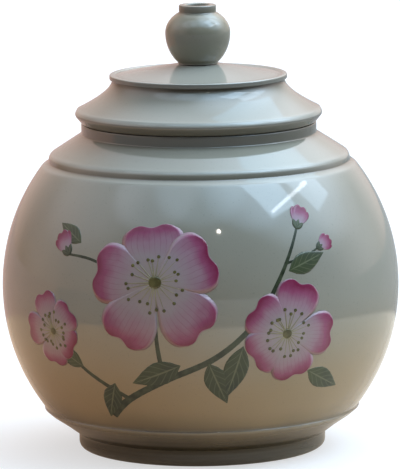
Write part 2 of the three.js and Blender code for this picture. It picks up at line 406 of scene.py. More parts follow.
@dataclass(frozen=True)
class PetalEnamel(Finish):
    """Rose enamel brushed from deep tips to nearly white hearts, with fine veins and pale outlines.

    Spans are shares of a petal's length or half width, counted from its heart or from its middle.
    """

    name: str = "rose_enamel"
    tones: tuple[tuple[float, str], ...] = (
        (0.0, "9f968c"),
        (0.36, "9f9295"),
        (0.62, "9e7d8b"),
        (0.82, "924c6b"),
        (1.0, "7d2848"),
    )
    vein: str = "7a3a56"
    outline: str = "ab9b9d"
    wash_scale: float = 140.0
    wash_reach: float = 0.35
    side_reach: float = 0.1
    vein_waves: float = 17.0
    vein_waver: float = 2.5
    vein_width: float = 0.35
    vein_share: float = 0.3
    vein_run: Span = (0.15, 0.75)
    outline_side: Span = (0.88, 0.95)
    outline_tip: Span = (0.965, 0.985)
    outline_share: float = 0.6
    roughness: Span = (0.11, 0.17)

    def look(self, tree: Tree) -> Inputs:
        """Mixes the enamel's colour and roughness.

        Args:
            tree: The material's tree.

        Returns:
            What goes into the inputs of the Principled shader.
        """
        along = tree.attribute("along")
        across = tree.attribute("across")
        side = tree.math("ABSOLUTE", across)
        wash = tree.noise(tree.place(), self.wash_scale, detail=4.0)
        reach = tree.stir(along, wash, self.wash_reach)
        reach = tree.math("MULTIPLY_ADD", tree.math("POWER", side, 2.0), self.side_reach, reach)
        reach = tree.math("ADD", reach, tree.attribute("tone"))
        brushed = tree.add("ShaderNodeValToRGB", {0: reach})
        stops = brushed.color_ramp.elements
        while len(stops) < len(self.tones):
            stops.new(0.5)
        for stop, (share, code) in zip(stops, self.tones, strict=True):
            stop.position = share
            stop.color = colour(code)
        spread = tree.math("MULTIPLY", across, self.vein_waves)
        wave = tree.math("SINE", tree.math("MULTIPLY_ADD", wash, self.vein_waver, spread))
        vein = tree.ramp(tree.math("ABSOLUTE", wave), 0.0, self.vein_width, self.vein_share, 0.0)
        vein = tree.math("MULTIPLY", vein, tree.ramp(along, *self.vein_run))
        painted = tree.mix(vein, brushed.outputs[0], colour(self.vein))
        at_side = tree.ramp(side, *self.outline_side)
        rim = tree.math("MAXIMUM", at_side, tree.ramp(along, *self.outline_tip))
        rim = tree.math("MULTIPLY", rim, self.outline_share)
        return {
            "Base Color": tree.mix(rim, painted, colour(self.outline)),
            "Roughness": tree.patches(wash, *self.roughness),
        }


@dataclass(frozen=True)
class LeafEnamel(Finish):
    """Dark green enamel with a paler midrib and side veins."""

    name: str = "leaf_enamel"
    deep: str = "353e30"
    fresh: str = "495236"
    vein: str = "70755a"
    wash_scale: float = 110.0
    wash_share: float = 0.7
    midrib_width: Span = (0.03, 0.1)
    midrib_share: float = 0.75
    vein_slant: float = 0.3
    vein_count: float = 6.0
    vein_width: Span = (0.03, 0.12)
    vein_share: float = 0.4
    roughness: Span = (0.12, 0.18)

    def look(self, tree: Tree) -> Inputs:
        """Mixes the enamel's colour and roughness.

        Args:
            tree: The material's tree.

        Returns:
            What goes into the inputs of the Principled shader.
        """
        side = tree.math("ABSOLUTE", tree.attribute("across"))
        wash = tree.noise(tree.place(), self.wash_scale, detail=4.0)
        blend = tree.math("ADD", tree.patches(wash), tree.attribute("tone"))
        blend = tree.math("MULTIPLY", blend, self.wash_share)
        painted = tree.mix(blend, colour(self.deep), colour(self.fresh))
        midrib = tree.ramp(side, *self.midrib_width, self.midrib_share, 0.0)
        slant = tree.math("MULTIPLY_ADD", side, -self.vein_slant, tree.attribute("along"))
        saw = tree.math("FRACT", tree.math("MULTIPLY", slant, self.vein_count))
        aside = tree.math("ABSOLUTE", tree.math("SUBTRACT", saw, 0.5))
        twig = tree.ramp(aside, *self.vein_width, self.vein_share, 0.0)
        return {
            "Base Color": tree.mix(tree.math("MAXIMUM", midrib, twig), painted, colour(self.vein)),
            "Roughness": tree.patches(wash, *self.roughness),
        }


@dataclass(frozen=True)
class BrushedEnamel(Finish):
    """One brushed colour that thins to a second where the stroke runs dry."""

    wet: str
    dry: str
    wash_scale: float = 260.0
    roughness: Span = (0.13, 0.21)

    def look(self, tree: Tree) -> Inputs:
        """Mixes the enamel's colour and roughness.

        Args:
            tree: The material's tree.

        Returns:
            What goes into the inputs of the Principled shader.
        """
        wash = tree.noise(tree.place(), self.wash_scale, detail=4.0)
        dry = tree.patches(wash, low=0.35, high=0.72)
        return {
            "Base Color": tree.mix(dry, colour(self.wet), colour(self.dry)),
            "Roughness": tree.patches(wash, *self.roughness),
        }


@dataclass(frozen=True)
class Corner:
    """One corner of a half section: its radius, its height and its rounding, in millimetres."""

    radius: float
    height: float
    rounding: float = 0.0

    def place(self) -> Vector:
        """Returns the corner as a point of the section."""
        return Vector((self.radius, self.height))


@dataclass
class Outline:
    """Half section of a turned piece, traced finely as points of (radius, height) in millimetres."""

    chord_error: float = 0.002
    longest_step: float = 1.2
    weld: float = 1e-4
    points: list[Vector] = field(default_factory=list)

    def trace(self, curve: Callable[[float], Vector], length: float, turning: float) -> None:
        """Adds points along one curve.

        Args:
            curve: Gives the curve's point at a share from 0 to 1.
            length: How long the curve is.
            turning: How far it turns, in radians.
        """
        bends = math.sqrt(length * turning / (8 * self.chord_error))
        count = math.ceil(max(length / self.longest_step, bends, 1))
        for index in range(count + 1):
            point = curve(index / count)
            if not self.points or (self.points[-1] - point).length > self.weld:
                self.points.append(point)

    def line(self, start: Vector, end: Vector) -> None:
        """Adds a straight run between two points."""
        self.trace(lambda share: start.lerp(end, share), (end - start).length, 0.0)

    def sweep(self, start: Vector, bend: Vector, end: Vector) -> None:
        """Adds a quadratic curve.

        Args:
            start: Where the curve begins.
            bend: The point that pulls it.
            end: Where it ends.
        """
        length = (bend - start).length + (end - bend).length
        turning = abs((bend - start).angle(end - bend))

        def at(share: float) -> Vector:
            """Returns the curve's point at a share of the way."""
            return start.lerp(bend, share).lerp(bend.lerp(end, share), share)

        self.trace(at, length, turning)

    def runs(self, corners: list[Corner]) -> None:
        """Adds straight runs from corner to corner.

        Args:
            corners: The corners, each rounded within half of the runs beside it.
        """
        start = corners[0].place()
        for before, here, after in zip(corners, corners[1:], [*corners[2:], None], strict=False):
            place = here.place()
            if after is None or here.rounding == 0:
                self.line(start, place)
                start = place
                continue
            back = before.place() - place
            ahead = after.place() - place
            trim = here.rounding / math.tan(back.angle(ahead) / 2)
            trim = min(trim, back.length / 2, ahead.length / 2)
            enter = place + back.normalized() * trim
            leave = place + ahead.normalized() * trim
            self.line(start, enter)
            self.sweep(enter, place, leave)
            start = leave

    def bulge(self, level: float, radius: float, half_height: float, start: float, end: float) -> None:
        """Adds part of an upright ellipse.

        Args:
            level: Height of its widest point.
            radius: Its greatest radius.
            half_height: Half of its height.
            start: Angle above the widest level where the part begins.
            end: Angle where it ends.
        """
        turn = end - start

        def at(share: float) -> Vector:
            """Returns the ellipse's point at a share of the way."""
            angle = start + turn * share
            return Vector((radius * math.cos(angle), level + half_height * math.sin(angle)))

        self.trace(at, abs(turn) * max(radius, half_height), abs(turn))

    def flow(self, reach: float = 0.9, full: float = 0.45) -> tuple[np.ndarray, np.ndarray]:
        """Finds where a glaze runs thinly over edges and where it pools in corners, which also stands
        for painted shade in corners.

        Args:
            reach: How far an edge or a corner is felt along the section, in millimetres.
            full: The felt curvature at which the effect is complete.

        Returns:
            Thinness, and pooling with its painted shade, of each point, both from 0 to 1.
        """
        places = np.array(self.points)
        legs = np.diff(places, axis=0)
        lengths = np.linalg.norm(legs, axis=1)
        run = np.concatenate([[0.0], np.cumsum(lengths)])
        heading = np.unwrap(np.arctan2(legs[:, 1], legs[:, 0]))
        turns = np.zeros(len(places))
        turns[1:-1] = np.diff(heading)
        weight = np.exp(-(((run[:, None] - run[None, :]) / reach) ** 2) / 2)
        felt = weight @ turns / (reach * math.sqrt(2 * math.pi))
        return np.clip(felt / full, 0, 1), np.clip(-felt / full, 0, 1)


def swell(end_radius: float, widest_radius: float, rise: float) -> float:
    """Returns half the height of the ellipse that swells from an end to its widest over a rise."""
    return rise / math.sqrt(1 - (end_radius / widest_radius) ** 2)


class Belly:
    """Bulging wall between two points of a vessel's section, widest at a share of the way up."""

    hollow_steps: int = 110

    def __init__(self, foot: Corner, widest: float, share: float, top: Corner) -> None:
        """Works out the two half-ellipses.

        Args:
            foot: Where the wall begins.
            widest: Its greatest radius.
            share: How far up the widest level is, from 0 to 1.
            top: Where the wall ends.
        """
        self.foot = foot
        self.top = top
        self.radius = widest
        self.level = foot.height + share * (top.height - foot.height)
        self.lower = swell(foot.radius, widest, self.level - foot.height)
        self.upper = swell(top.radius, widest, top.height - self.level)

    def trace(self, outline: Outline) -> None:
        """Adds the outside of the wall to an outline, from its foot to its top.

        Args:
            outline: The outline.
        """
        lowest = -math.acos(self.foot.radius / self.radius)
        highest = math.acos(self.top.radius / self.radius)
        outline.bulge(self.level, self.radius, self.lower, lowest, 0.0)
        outline.bulge(self.level, self.radius, self.upper, 0.0, highest)

    def inside(
        self,
        wall: float,
        mouth: float,
        floor: float,
        limit: Callable[[Vector], float] = lambda point: point.y,
    ) -> list[Vector]:
        """Traces the hollow of the vessel.

        Args:
            wall: Thickness of the wall.
            mouth: Radius of the mouth, where the hollow begins.
            floor: Height of the hollow's floor.
            limit: Gives the height that a point of the hollow is kept to.

        Returns:
            Points from the mouth down to the axis on the floor.
        """
        radius = self.radius - wall
        lower = self.lower - wall
        upper = self.upper - wall
        start = math.acos(mouth / radius)
        end = -math.asin(min(1.0, (self.level - floor) / lower))
        points = []
        for index in range(self.hollow_steps + 1):
            angle = start + (end - start) * index / self.hollow_steps
            half = upper if angle > 0 else lower
            point = Vector((radius * math.cos(angle), self.level + half * math.sin(angle)))
            points.append(Vector((point.x, limit(point))))
        return points

    def frame(self, azimuth: float, height: float) -> Matrix:
        """Finds the place and the directions of a point on the outside of the wall.

        Args:
            azimuth: Degrees to the right of the front.
            height: Height over the table, in millimetres.

        Returns:
            A matrix in millimetres: right, up along the wall, outwards, and the place.
        """
        turn = math.radians(azimuth)
        rise = (height - self.level) / self.upper
        around = self.radius * math.sqrt(1 - rise**2)
        place = Vector((around * math.sin(turn), -around * math.cos(turn), height))
        slope = Vector((place.x / self.radius**2, place.y / self.radius**2, rise / self.upper))
        outward = slope.normalized()
        right = Vector((math.cos(turn), math.sin(turn), 0.0))
        matrix = Matrix((right, outward.cross(right), outward)).transposed().to_4x4()
        matrix.translation = place
        return matrix


def geometry_tree(name: str, counts: Names, sizes: Names) -> tuple[Tree, Node]:
    """Begins a geometry tree, which takes a geometry, counts, sizes and a finish.

    Args:
        name: The tree's name.
        counts: Names of the inputs that are whole numbers.
        sizes: Names of the inputs that are sizes or shares.

    Returns:
        The tree and its input node.
    """
    group = bpy.data.node_groups.new(name, "GeometryNodeTree")
    kinds = {"Geometry": "NodeSocketGeometry"}
    kinds.update(dict.fromkeys(counts, "NodeSocketInt"))
    kinds.update(dict.fromkeys(sizes, "NodeSocketFloat"))
    kinds["Finish"] = "NodeSocketMaterial"
    for label, kind in kinds.items():
        group.interface.new_socket(label, in_out="INPUT", socket_type=kind)
    group.interface.new_socket("Geometry", in_out="OUTPUT", socket_type="NodeSocketGeometry")
    tree = Tree(group)
    return tree, tree.add("NodeGroupInput")


def close_tree(tree: Tree, start: Node, geometry: Socket, spent: Names = ()) -> None:
    """Ends a geometry tree.

    Args:
        tree: The tree.
        start: Its input node, with the finish.
        geometry: What it has made.
        spent: Attributes that no material reads.
    """
    for name in spent:
        geometry = tree.out("GeometryNodeRemoveAttribute", {"Geometry": geometry, "Name": name})
    geometry = tree.out("GeometryNodeRealizeInstances", {0: geometry})
    geometry = tree.out("GeometryNodeMergeByDistance", {0: geometry, "Distance": MERGE_DISTANCE})
    geometry = tree.out("GeometryNodeSetShadeSmooth", {0: geometry})
    finish = {0: geometry, "Material": start.outputs["Finish"]}
    tree.add("NodeGroupOutput", {0: tree.out("GeometryNodeSetMaterial", finish)})


def run_tree(piece: bpy.types.Object, tree: Tree, values: dict[str, Any]) -> None:
    """Runs a geometry tree on an object and keeps the result as the object's plain mesh.

    Args:
        piece: The object, which holds the tree's first geometry.
        tree: The tree.
        values: The tree's named inputs.
    """
    modifier = piece.modifiers.new(tree.tree.name, "NODES")
    modifier.node_group = tree.tree
    for item in tree.tree.interface.items_tree:
        if item.in_out == "INPUT" and item.name in values:
            modifier[item.identifier] = values[item.name]
    graph = bpy.context.evaluated_depsgraph_get()
    made = bpy.data.meshes.new_from_object(
        piece.evaluated_get(graph), preserve_all_data_layers=True, depsgraph=graph
    )
    made.name = piece.name
    piece.modifiers.clear()
    piece.data = made


def new_piece(
    name: str,
    places: list[Vector],
    edges: list[tuple[int, int]],
    attributes: dict[str, list[Any]],
) -> bpy.types.Object:
    """Makes the object that a geometry tree starts from.

    Args:
        name: The piece's name.
        places: Its first points, in metres.
        edges: Pairs of points that are joined.
        attributes: Numbers or vectors for each point.

    Returns:
        The object, linked to the scene.
    """
    mesh = bpy.data.meshes.new(name)
    mesh.from_pydata(places, edges, [])
    for label, values in attributes.items():
        vector = isinstance(values[0], Vector)
        layer = mesh.attributes.new(label, "FLOAT_VECTOR" if vector else "FLOAT", "POINT")
        flat = np.array(values, np.float32).ravel()
        layer.data.foreach_set("vector" if vector else "value", flat)
    piece = bpy.data.objects.new(name, mesh)
    bpy.context.scene.collection.objects.link(piece)
    return piece


def turning_tree() -> Tree:
    """Builds the tree that turns a half section round the upright axis.

    Returns:
        The tree. Its first geometry has a point's radius, less the pivot, as X and its depth as Y.
    """
    tree, start = geometry_tree("Turning", ("Sides",), ("Pivot",))
    given = start.outputs
    section = tree.out("GeometryNodeMeshToCurve", {0: given["Geometry"]})
    circle = {"Resolution": given["Sides"], "Radius": given["Pivot"]}
    path = tree.out("GeometryNodeCurvePrimitiveCircle", circle)
    path = tree.out("GeometryNodeSetCurveNormal", {0: path}, mode="Z_UP")
    turned = tree.out("GeometryNodeCurveToMesh", {"Curve": path, "Profile Curve": section})
    close_tree(tree, start, tree.out("GeometryNodeFlipFaces", {0: turned}))
    return tree


@dataclass
class TurnedPiece:
    """A piece turned on the wheel, which stands for the faceted solid of the same node."""

    name: str
    node: str
    body: Body
    slot: Slot
    base: float = 0.0
    sides: int = 192
    pivot: float = 1.0
    piece: bpy.types.Object | None = None

    def outline(self) -> Outline:
        """Returns the piece's half section over its own base, in millimetres."""
        raise NotImplementedError

    def bare(self, point: Vector) -> float:
        """Returns 1 where the glaze was wiped off a point of the section, and 0 elsewhere."""
        return 0.0

    def painted_shade(self, point: Vector) -> float:
        """Returns how dark the painted shade is at a point of the section, where 1 is as in a corner.
        """
        return 0.0

    def painted_light(self, point: Vector) -> float:
        """Returns how bright the painted light is at a point of the section, where 1 is as over an
        edge.
        """
        return 0.0

    def build(self, tree: Tree, finish: bpy.types.Material) -> None:
        """Turns the section and puts the piece in the place of its solid.

        Args:
            tree: The turning tree.
            finish: The material of the piece.
        """
        outline = self.outline()
        thin_and_lit, pool_and_shade = outline.flow()
        points = outline.points
        edges = [(index, index + 1) for index in range(len(points) - 1)]
        closed = (points[0] - points[-1]).length < outline.weld
        if closed:
            points = points[:-1]
            edges[-1] = (len(points) - 1, 0)
        places = [Vector((point.x - self.pivot, -point.y - self.base, 0.0)) * MM for point in points]
        # Paler where glaze runs thinly over edges, plus painted light on the roof; darker where it
        # gathers in corners, plus painted shade.
        attributes = {
            "thin_and_lit": [max(pair) for pair in zip(map(self.painted_light, points), thin_and_lit, strict=False)],
            "pool_and_shade": [max(pair) for pair in zip(map(self.painted_shade, points), pool_and_shade, strict=False)],
            "bare": [self.bare(point) for point in points],
        }
        self.piece = new_piece(self.name, places, edges, attributes)
        run_tree(self.piece, tree, {"Sides": self.sides, "Pivot": self.pivot * MM, "Finish": finish})
        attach(self.piece, self.body.value)
        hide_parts(self.node)
        self.report()

    def report(self) -> None:
        """Logs the piece's faces and how far its box is from its solid's."""
        low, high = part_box(self.node)
        places = np.array([vertex.co for vertex in self.piece.data.vertices])
        off = max(np.abs(places.min(0) - low).max(), np.abs(places.max(0) - high).max()) / MM
        faces = len(self.piece.data.polygons)
        LOG.info("%s: %d faces, box within %.3f mm of the solid", self.name, faces, off)


@dataclass
class Jar(TurnedPiece):
    """Round-bellied jar on a foot ring, with a rolled step, a ledge, a shoulder and a short neck."""

    name: str = "glazed_jar"
    node: str = "jar_body"
    body: Body = Body.JAR
    slot: Slot = Slot.JAR
    height: float = 140.2
    foot_radius: float = 53.0
    foot_height: float = 6.5
    foot_round: float = 3.0
    foot_fillet: float = 3.0
    foot_ring_width: float = 8.0
    foot_recess: float = 3.0
    foot_inner_round: float = 1.0
    underside_width: float = 12.4
    underside_rise: float = 8.8
    underside_hollow: float = 0.2
    underside_sweep: float = 24.0
    step_width: float = 2.5
    step_height: float = 2.2
    step_round: float = 2.6
    step_roll: float = 0.6
    belly_radius: float = 85.0
    belly_share: float = 0.506
    shelf_width: float = 3.6
    shelf_rise: float = 3.0
    shelf_lead: float = 1.6
    shelf_sweep: float = 20.0
    shelf_fillet: float = 0.8
    ledge_setback: float = 0.5
    ledge_height: float = 2.9
    ledge_round: float = 3.2
    shoulder_width: float = 13.8
    shoulder_rise: float = 9.0
    neck_fillet: float = 0.8
    neck_height: float = 4.5
    neck_wall: float = 5.3
    mouth_radius: float = 45.0
    mouth_round: float = 0.8
    wall: float = 4.5
    floor: float = 5.0
    # Painted shade on the neck, and on the lower part of the upright ledge, darkest at its foot.
    neck_shade: float = 1.1
    ledge_shade: float = 1.1
    ledge_shade_share: float = 0.7
    ledge_clearance: float = 0.1

    @property
    def neck_radius(self) -> float:
        """Outer radius of the neck."""
        return self.mouth_radius + self.neck_wall

    @property
    def neck_level(self) -> float:
        """Height of the foot of the neck."""
        return self.height - self.neck_height

    @property
    def shoulder(self) -> Corner:
        """Outer edge of the shoulder, over the ledge."""
        radius = self.neck_radius + self.shoulder_width
        return Corner(radius, self.neck_level - self.shoulder_rise, self.ledge_round)

    @property
    def ledge(self) -> Corner:
        """Foot of the upright ledge."""
        radius = self.shoulder.radius + self.ledge_setback
        return Corner(radius, self.shoulder.height - self.ledge_height, self.shelf_fillet)

    def belly(self) -> Belly:
        """Works out the bulging wall between the rolled step and the shelf under the ledge.

        Returns:
            The wall.
        """
        step_radius = self.foot_radius + self.underside_width + self.step_width
        step_level = self.foot_height + self.underside_rise + self.step_height
        foot = Corner(step_radius - self.step_roll, step_level + self.step_roll)
        top = Corner(self.ledge.radius + self.shelf_width, self.ledge.height - self.shelf_rise)
        return Belly(foot, self.belly_radius, self.belly_share, top)

    def bare(self, point: Vector) -> float:
        """Finds the ring that stands on the table and the seat of the lid.

        Args:
            point: A point of the section.

        Returns:
            1 on them, and 0 elsewhere.
        """
        foot_edge = self.foot_radius - self.foot_round / 2
        seat_edge = self.neck_radius - self.mouth_round
        on_foot = point.y < self.foot_inner_round / 2 and point.x < foot_edge
        on_seat = point.y > self.height - self.mouth_round / 4 and point.x < seat_edge
        return float(on_foot or on_seat)

    def painted_shade(self, point: Vector) -> float:
        """Paints shade on the neck under the lid's rim and on the lower part of the upright ledge.

        Args:
            point: A point of the section.

        Returns:
            How dark the painted shade is, where 1 is as in a corner.
        """
        on_neck = point.y > self.neck_level and point.x > self.neck_radius - self.neck_wall / 2
        over_shelf = (point.y - self.ledge.height) / self.ledge_height
        outside = point.x > self.shoulder.radius - self.ledge_clearance
        on_ledge = 0.0 <= over_shelf < self.ledge_shade_share and outside
        return self.neck_shade * on_neck + self.ledge_shade * on_ledge * (1.0 - over_shelf)

    def outline(self) -> Outline:
        """Traces the jar, from the foot up to the neck and back through the hollow.

        Returns:
            Its half section.
        """
        recess = self.foot_radius - self.foot_ring_width
        slope = self.underside_rise / self.underside_width
        lean = math.atan(slope)
        middle = Corner(
            self.foot_radius + self.underside_width / 2 - self.underside_hollow * math.sin(lean),
            self.foot_height + self.underside_rise / 2 + self.underside_hollow * math.cos(lean),
            self.underside_sweep,
        )
        under_step = self.foot_radius + self.underside_width
        under_level = self.foot_height + self.underside_rise
        belly = self.belly()
        outline = Outline()
        outline.runs(
            [
                Corner(0.0, self.foot_recess),
                Corner(recess, self.foot_recess, self.foot_inner_round),
                Corner(recess, 0.0, self.foot_inner_round),
                Corner(self.foot_radius, 0.0, self.foot_round),
                Corner(self.foot_radius, self.foot_height, self.foot_fillet),
                middle,
                Corner(under_step, under_level, self.step_round),
                Corner(under_step + self.step_width, under_level + self.step_height, self.step_roll),
                belly.foot,
            ]
        )
        belly.trace(outline)
        inside = self.hollow(belly, slope)
        top = belly.top.place()
        lead = top + (top - outline.points[-2]).normalized() * self.shelf_lead
        outline.runs(
            [
                belly.top,
                Corner(lead.x, lead.y, self.shelf_sweep),
                self.ledge,
                self.shoulder,
                Corner(self.neck_radius, self.neck_level, self.neck_fillet),
                Corner(self.neck_radius, self.height, self.mouth_round),
                Corner(self.mouth_radius, self.height, self.mouth_round),
                Corner(inside[0].x, inside[0].y),
            ]
        )
        outline.points += inside[1:]
        outline.line(inside[-1], Vector((0.0, self.foot_recess + self.floor)))
        return outline

    def hollow(self, belly: Belly, underside_slope: float) -> list[Vector]:
        """Traces the tea space, kept clear of the shoulder and the underside by the wall's thickness.

        Args:
            belly: The bulging wall.
            underside_slope: Rise of the underside over its width.

        Returns:
            Points from the mouth down to the floor.
        """
        shoulder_slope = self.shoulder_rise / self.shoulder_width
        drop = self.wall * math.hypot(1.0, shoulder_slope)
        lift = (self.wall + self.underside_hollow) * math.hypot(1.0, underside_slope)

        def limit(point: Vector) -> float:
            """Keeps a point of the hollow under the shoulder and over the underside.

            Args:
                point: The point.

            Returns:
                The height that it is kept to.
            """
            ceiling = self.neck_level - (point.x - self.neck_radius) * shoulder_slope - drop
            bed = self.foot_height + (point.x - self.foot_radius) * underside_slope + lift
            return max(min(point.y, ceiling), bed)

        return belly.inside(self.wall, self.mouth_radius, self.foot_recess + self.floor, limit)


@dataclass
class Lid(TurnedPiece):
    """Stepped lid: a spigot with the seal's groove, a rounded rim, a flared side and a lipped roof."""

    name: str = "glazed_lid"
    node: str = "lid"
    body: Body = Body.LID
    slot: Slot = Slot.LID
    base: float = 140.5
    height: float = 24.5
    seat_radius: float = 50.3
    seat_round: float = 0.5
    rim_overhang: float = 2.8
    rim_rise: float = 3.4
    rim_round: float = 2.0
    flare_sweep: float = 0.6
    roof_radius: float = 38.0
    roof_overhang: float = 1.1
    roof_edge: float = 2.2
    roof_edge_round: float = 1.1
    roof_lip: float = 1.8
    roof_lip_round: float = 0.6
    roof_dish: float = 0.45
    roof_rise: float = 4.1
    roof_seat: float = 9.4
    wall: float = 4.5
    hollow_round: float = 6.0
    spigot_radius: float = 43.2
    spigot_wall: float = 4.0
    spigot_land: float = 1.9
    spigot_lip: float = 1.5
    spigot_round: float = 0.8
    groove_depth: float = 1.4
    groove_height: float = 5.6
    # Painted shade under the rim, and fading down from the roof's edge over the top of the flare.
    rim_shade: float = 0.7
    rim_shade_over: float = 0.4
    edge_shade: float = 0.9
    edge_shade_share: float = 0.85
    edge_shade_run: float = 6.5

    def bare(self, point: Vector) -> float:
        """Returns 1 on the seat that meets the neck."""
        on_seat = self.spigot_radius < point.x < self.seat_radius - 2 * self.seat_round
        return float(on_seat and abs(point.y) < self.seat_round / 4)

    def painted_light(self, point: Vector) -> float:
        """Returns 1 on the roof, where light from above is painted in as a paler colour."""
        return float(point.y > self.height - self.roof_rise - self.roof_dish)

    def painted_shade(self, point: Vector) -> float:
        """Paints shade under the rim, and on the roof's edge and the top of the flare below it.

        Args:
            point: A point of the section.

        Returns:
            How dark the painted shade is, where 1 is as in a corner.
        """
        outside = point.x > self.seat_radius - 2 * self.seat_round
        under_rim = 0.0 <= point.y < self.rim_rise + self.rim_shade_over and outside
        edge = self.height - self.roof_rise - self.roof_edge
        below = (edge + self.edge_shade_share * self.roof_edge - point.y) / self.edge_shade_run
        on_edge = 0.0 < below < 1.0 and point.x > self.roof_radius - 2 * self.roof_overhang
        return self.rim_shade * under_rim + self.edge_shade * on_edge * (1.0 - below)

    def outline(self) -> Outline:
        """Traces the lid: hollow, spigot, groove, seat, rim, flare and roof.

        Returns:
            Its half section.
        """
        inner = self.spigot_radius - self.spigot_wall
        groove = self.spigot_radius - self.groove_depth
        groove_top = -self.spigot_land
        groove_bottom = groove_top - self.groove_height
        bottom = groove_bottom - self.spigot_lip
        roof = self.height - self.roof_rise
        edge = roof - self.roof_edge
        rim = self.seat_radius + self.rim_overhang
        rim_top = Corner(rim - self.rim_round / 2, self.rim_rise + self.rim_round)
        flare_top = Corner(self.roof_radius - self.roof_overhang, edge)
        lip = self.roof_radius - self.roof_lip
        bend = Vector((flare_top.radius, rim_top.height + self.flare_sweep * (edge - rim_top.height)))
        outline = Outline()
        outline.runs(
            [
                Corner(0.0, self.height - self.wall),
                Corner(self.roof_radius - self.wall, roof - self.wall, self.hollow_round),
                Corner(inner, 0.0, self.hollow_round),
                Corner(inner, bottom, self.spigot_round),
                Corner(self.spigot_radius, bottom, self.spigot_round),
                Corner(self.spigot_radius, groove_bottom),
                Corner(groove, groove_bottom),
                Corner(groove, groove_top),
                Corner(self.spigot_radius, groove_top),
                Corner(self.spigot_radius, 0.0),
                Corner(self.seat_radius, 0.0, self.seat_round),
                Corner(rim, self.rim_rise, self.rim_round),
                rim_top,
            ]
        )
        outline.sweep(rim_top.place(), bend, flare_top.place())
        outline.runs(
            [
                flare_top,
                Corner(self.roof_radius, edge, self.roof_edge_round),
                Corner(self.roof_radius, roof, self.roof_edge_round),
                Corner(lip, roof, self.roof_lip_round),
                Corner(lip - 2 * self.roof_dish, roof - self.roof_dish, self.roof_lip_round),
                Corner(self.roof_seat, self.height),
                Corner(0.0, self.height),
            ]
        )
        return outline


@dataclass
class Seal(TurnedPiece):
    """Silicone ring in the lid's groove, with two fins that lean up to the mouth of the jar."""

    name: str = "silicone_seal"
    node: str = "seal_ring"
    body: Body = Body.SEAL
    slot: Slot = Slot.SEAL
    base: float = 140.5
    inner_radius: float = 42.1
    outer_radius: float = 42.9
    fin_radius: float = 44.7
    bottom: float = -7.2
    height: float = 5.0
    fins: int = 2
    fin_root: float = 1.0
    fin_tip: float = 0.5
    fin_lift: float = 0.7
    edge_round: float = 0.18

    def outline(self) -> Outline:
        """Traces the seal all round, from the middle of its inner side.

        Returns:
            Its closed half section.
        """
        pitch = self.height / self.fins
        top = self.bottom + self.height
        first = self.bottom + (pitch - self.fin_root) / 2
        corners = [
            Corner(self.inner_radius, self.bottom + self.height / 2),
            Corner(self.inner_radius, self.bottom, self.edge_round),
            Corner(self.outer_radius, self.bottom, self.edge_round),
        ]
        for fin in range(self.fins):
            root = first + pitch * fin
            rise = root + self.fin_lift
            corners += [
                Corner(self.outer_radius, root, self.edge_round),
                Corner(self.fin_radius, rise, self.edge_round),
                Corner(self.fin_radius, rise + self.fin_tip, self.edge_round),
                Corner(self.outer_radius, root + self.fin_root, self.edge_round),
            ]
        corners += [
            Corner(self.outer_radius, top, self.edge_round),
            Corner(self.inner_radius, top, self.edge_round),
            Corner(self.inner_radius, self.bottom + self.height / 2),
        ]
        outline = Outline(longest_step=0.6)
        outline.runs(corners)
        return outline


@dataclass
class Knob(TurnedPiece):
    """Little vase luted to the roof of the lid: a round belly, a short collar and an open mouth."""

    name: str = "glazed_knob"
    node: str = "knob"
    body: Body = Body.LID
    slot: Slot = Slot.KNOB
    base: float = 165.3
    sides: int = 120
    height: float = 25.1
    foot_radius: float = 8.6
    foot_height: float = 0.5
    foot_round: float = 0.4
    belly_radius: float = 13.9
    belly_share: float = 0.59
    collar_height: float = 3.2
    collar_wall: float = 2.85
    collar_round: float = 0.7
    mouth_radius: float = 5.1
    wall: float = 2.6
    floor: float = 3.0
    # Painted shade on the outside of the collar.
    collar_shade: float = 0.6

    def painted_shade(self, point: Vector) -> float:
        """Returns the painted shade on the outside of the collar."""
        outside = point.x > self.mouth_radius + self.collar_wall / 2
        return self.collar_shade * (point.y > self.height - self.collar_height and outside)

    def outline(self) -> Outline:
        """Traces the knob: foot, belly, collar and hollow.

        Returns:
            Its half section.
        """
        collar = self.mouth_radius + self.collar_wall
        foot = Corner(self.foot_radius, self.foot_height)
        top = Corner(collar, self.height - self.collar_height)
        belly = Belly(foot, self.belly_radius, self.belly_share, top)
        outline = Outline(longest_step=0.6)
        outline.runs([Corner(0.0, 0.0), Corner(self.foot_radius, 0.0, self.foot_round), foot])
        belly.trace(outline)
        inside = belly.inside(self.wall, self.mouth_radius, self.floor)
        outline.runs(
            [
                top,
                Corner(collar, self.height, self.collar_round),
                Corner(self.mouth_radius, self.height, self.collar_round),
                Corner(inside[0].x, inside[0].y),
            ]
        )
        outline.points += inside[1:]
        outline.line(inside[-1], Vector((0.0, self.floor)))
        return outline


@dataclass(frozen=True)
class Shape:
    """Flat form of one enamelled motif: its half width along its length, and the notch of its tip.

    The sharpness says how suddenly the motif's relief falls off at its sides and at its ends. A greater
    spread makes the notch narrower, and a greater power makes it shorter.
    """

    name: str
    widths: tuple[Span, ...]
    notch: float = 0.0
    rows: int = 25
    columns: int = 13
    side_sharpness: float = 8.0
    end_sharpness: float = 16.0
    notch_spread: float = 11.0
    notch_power: float = 6.0


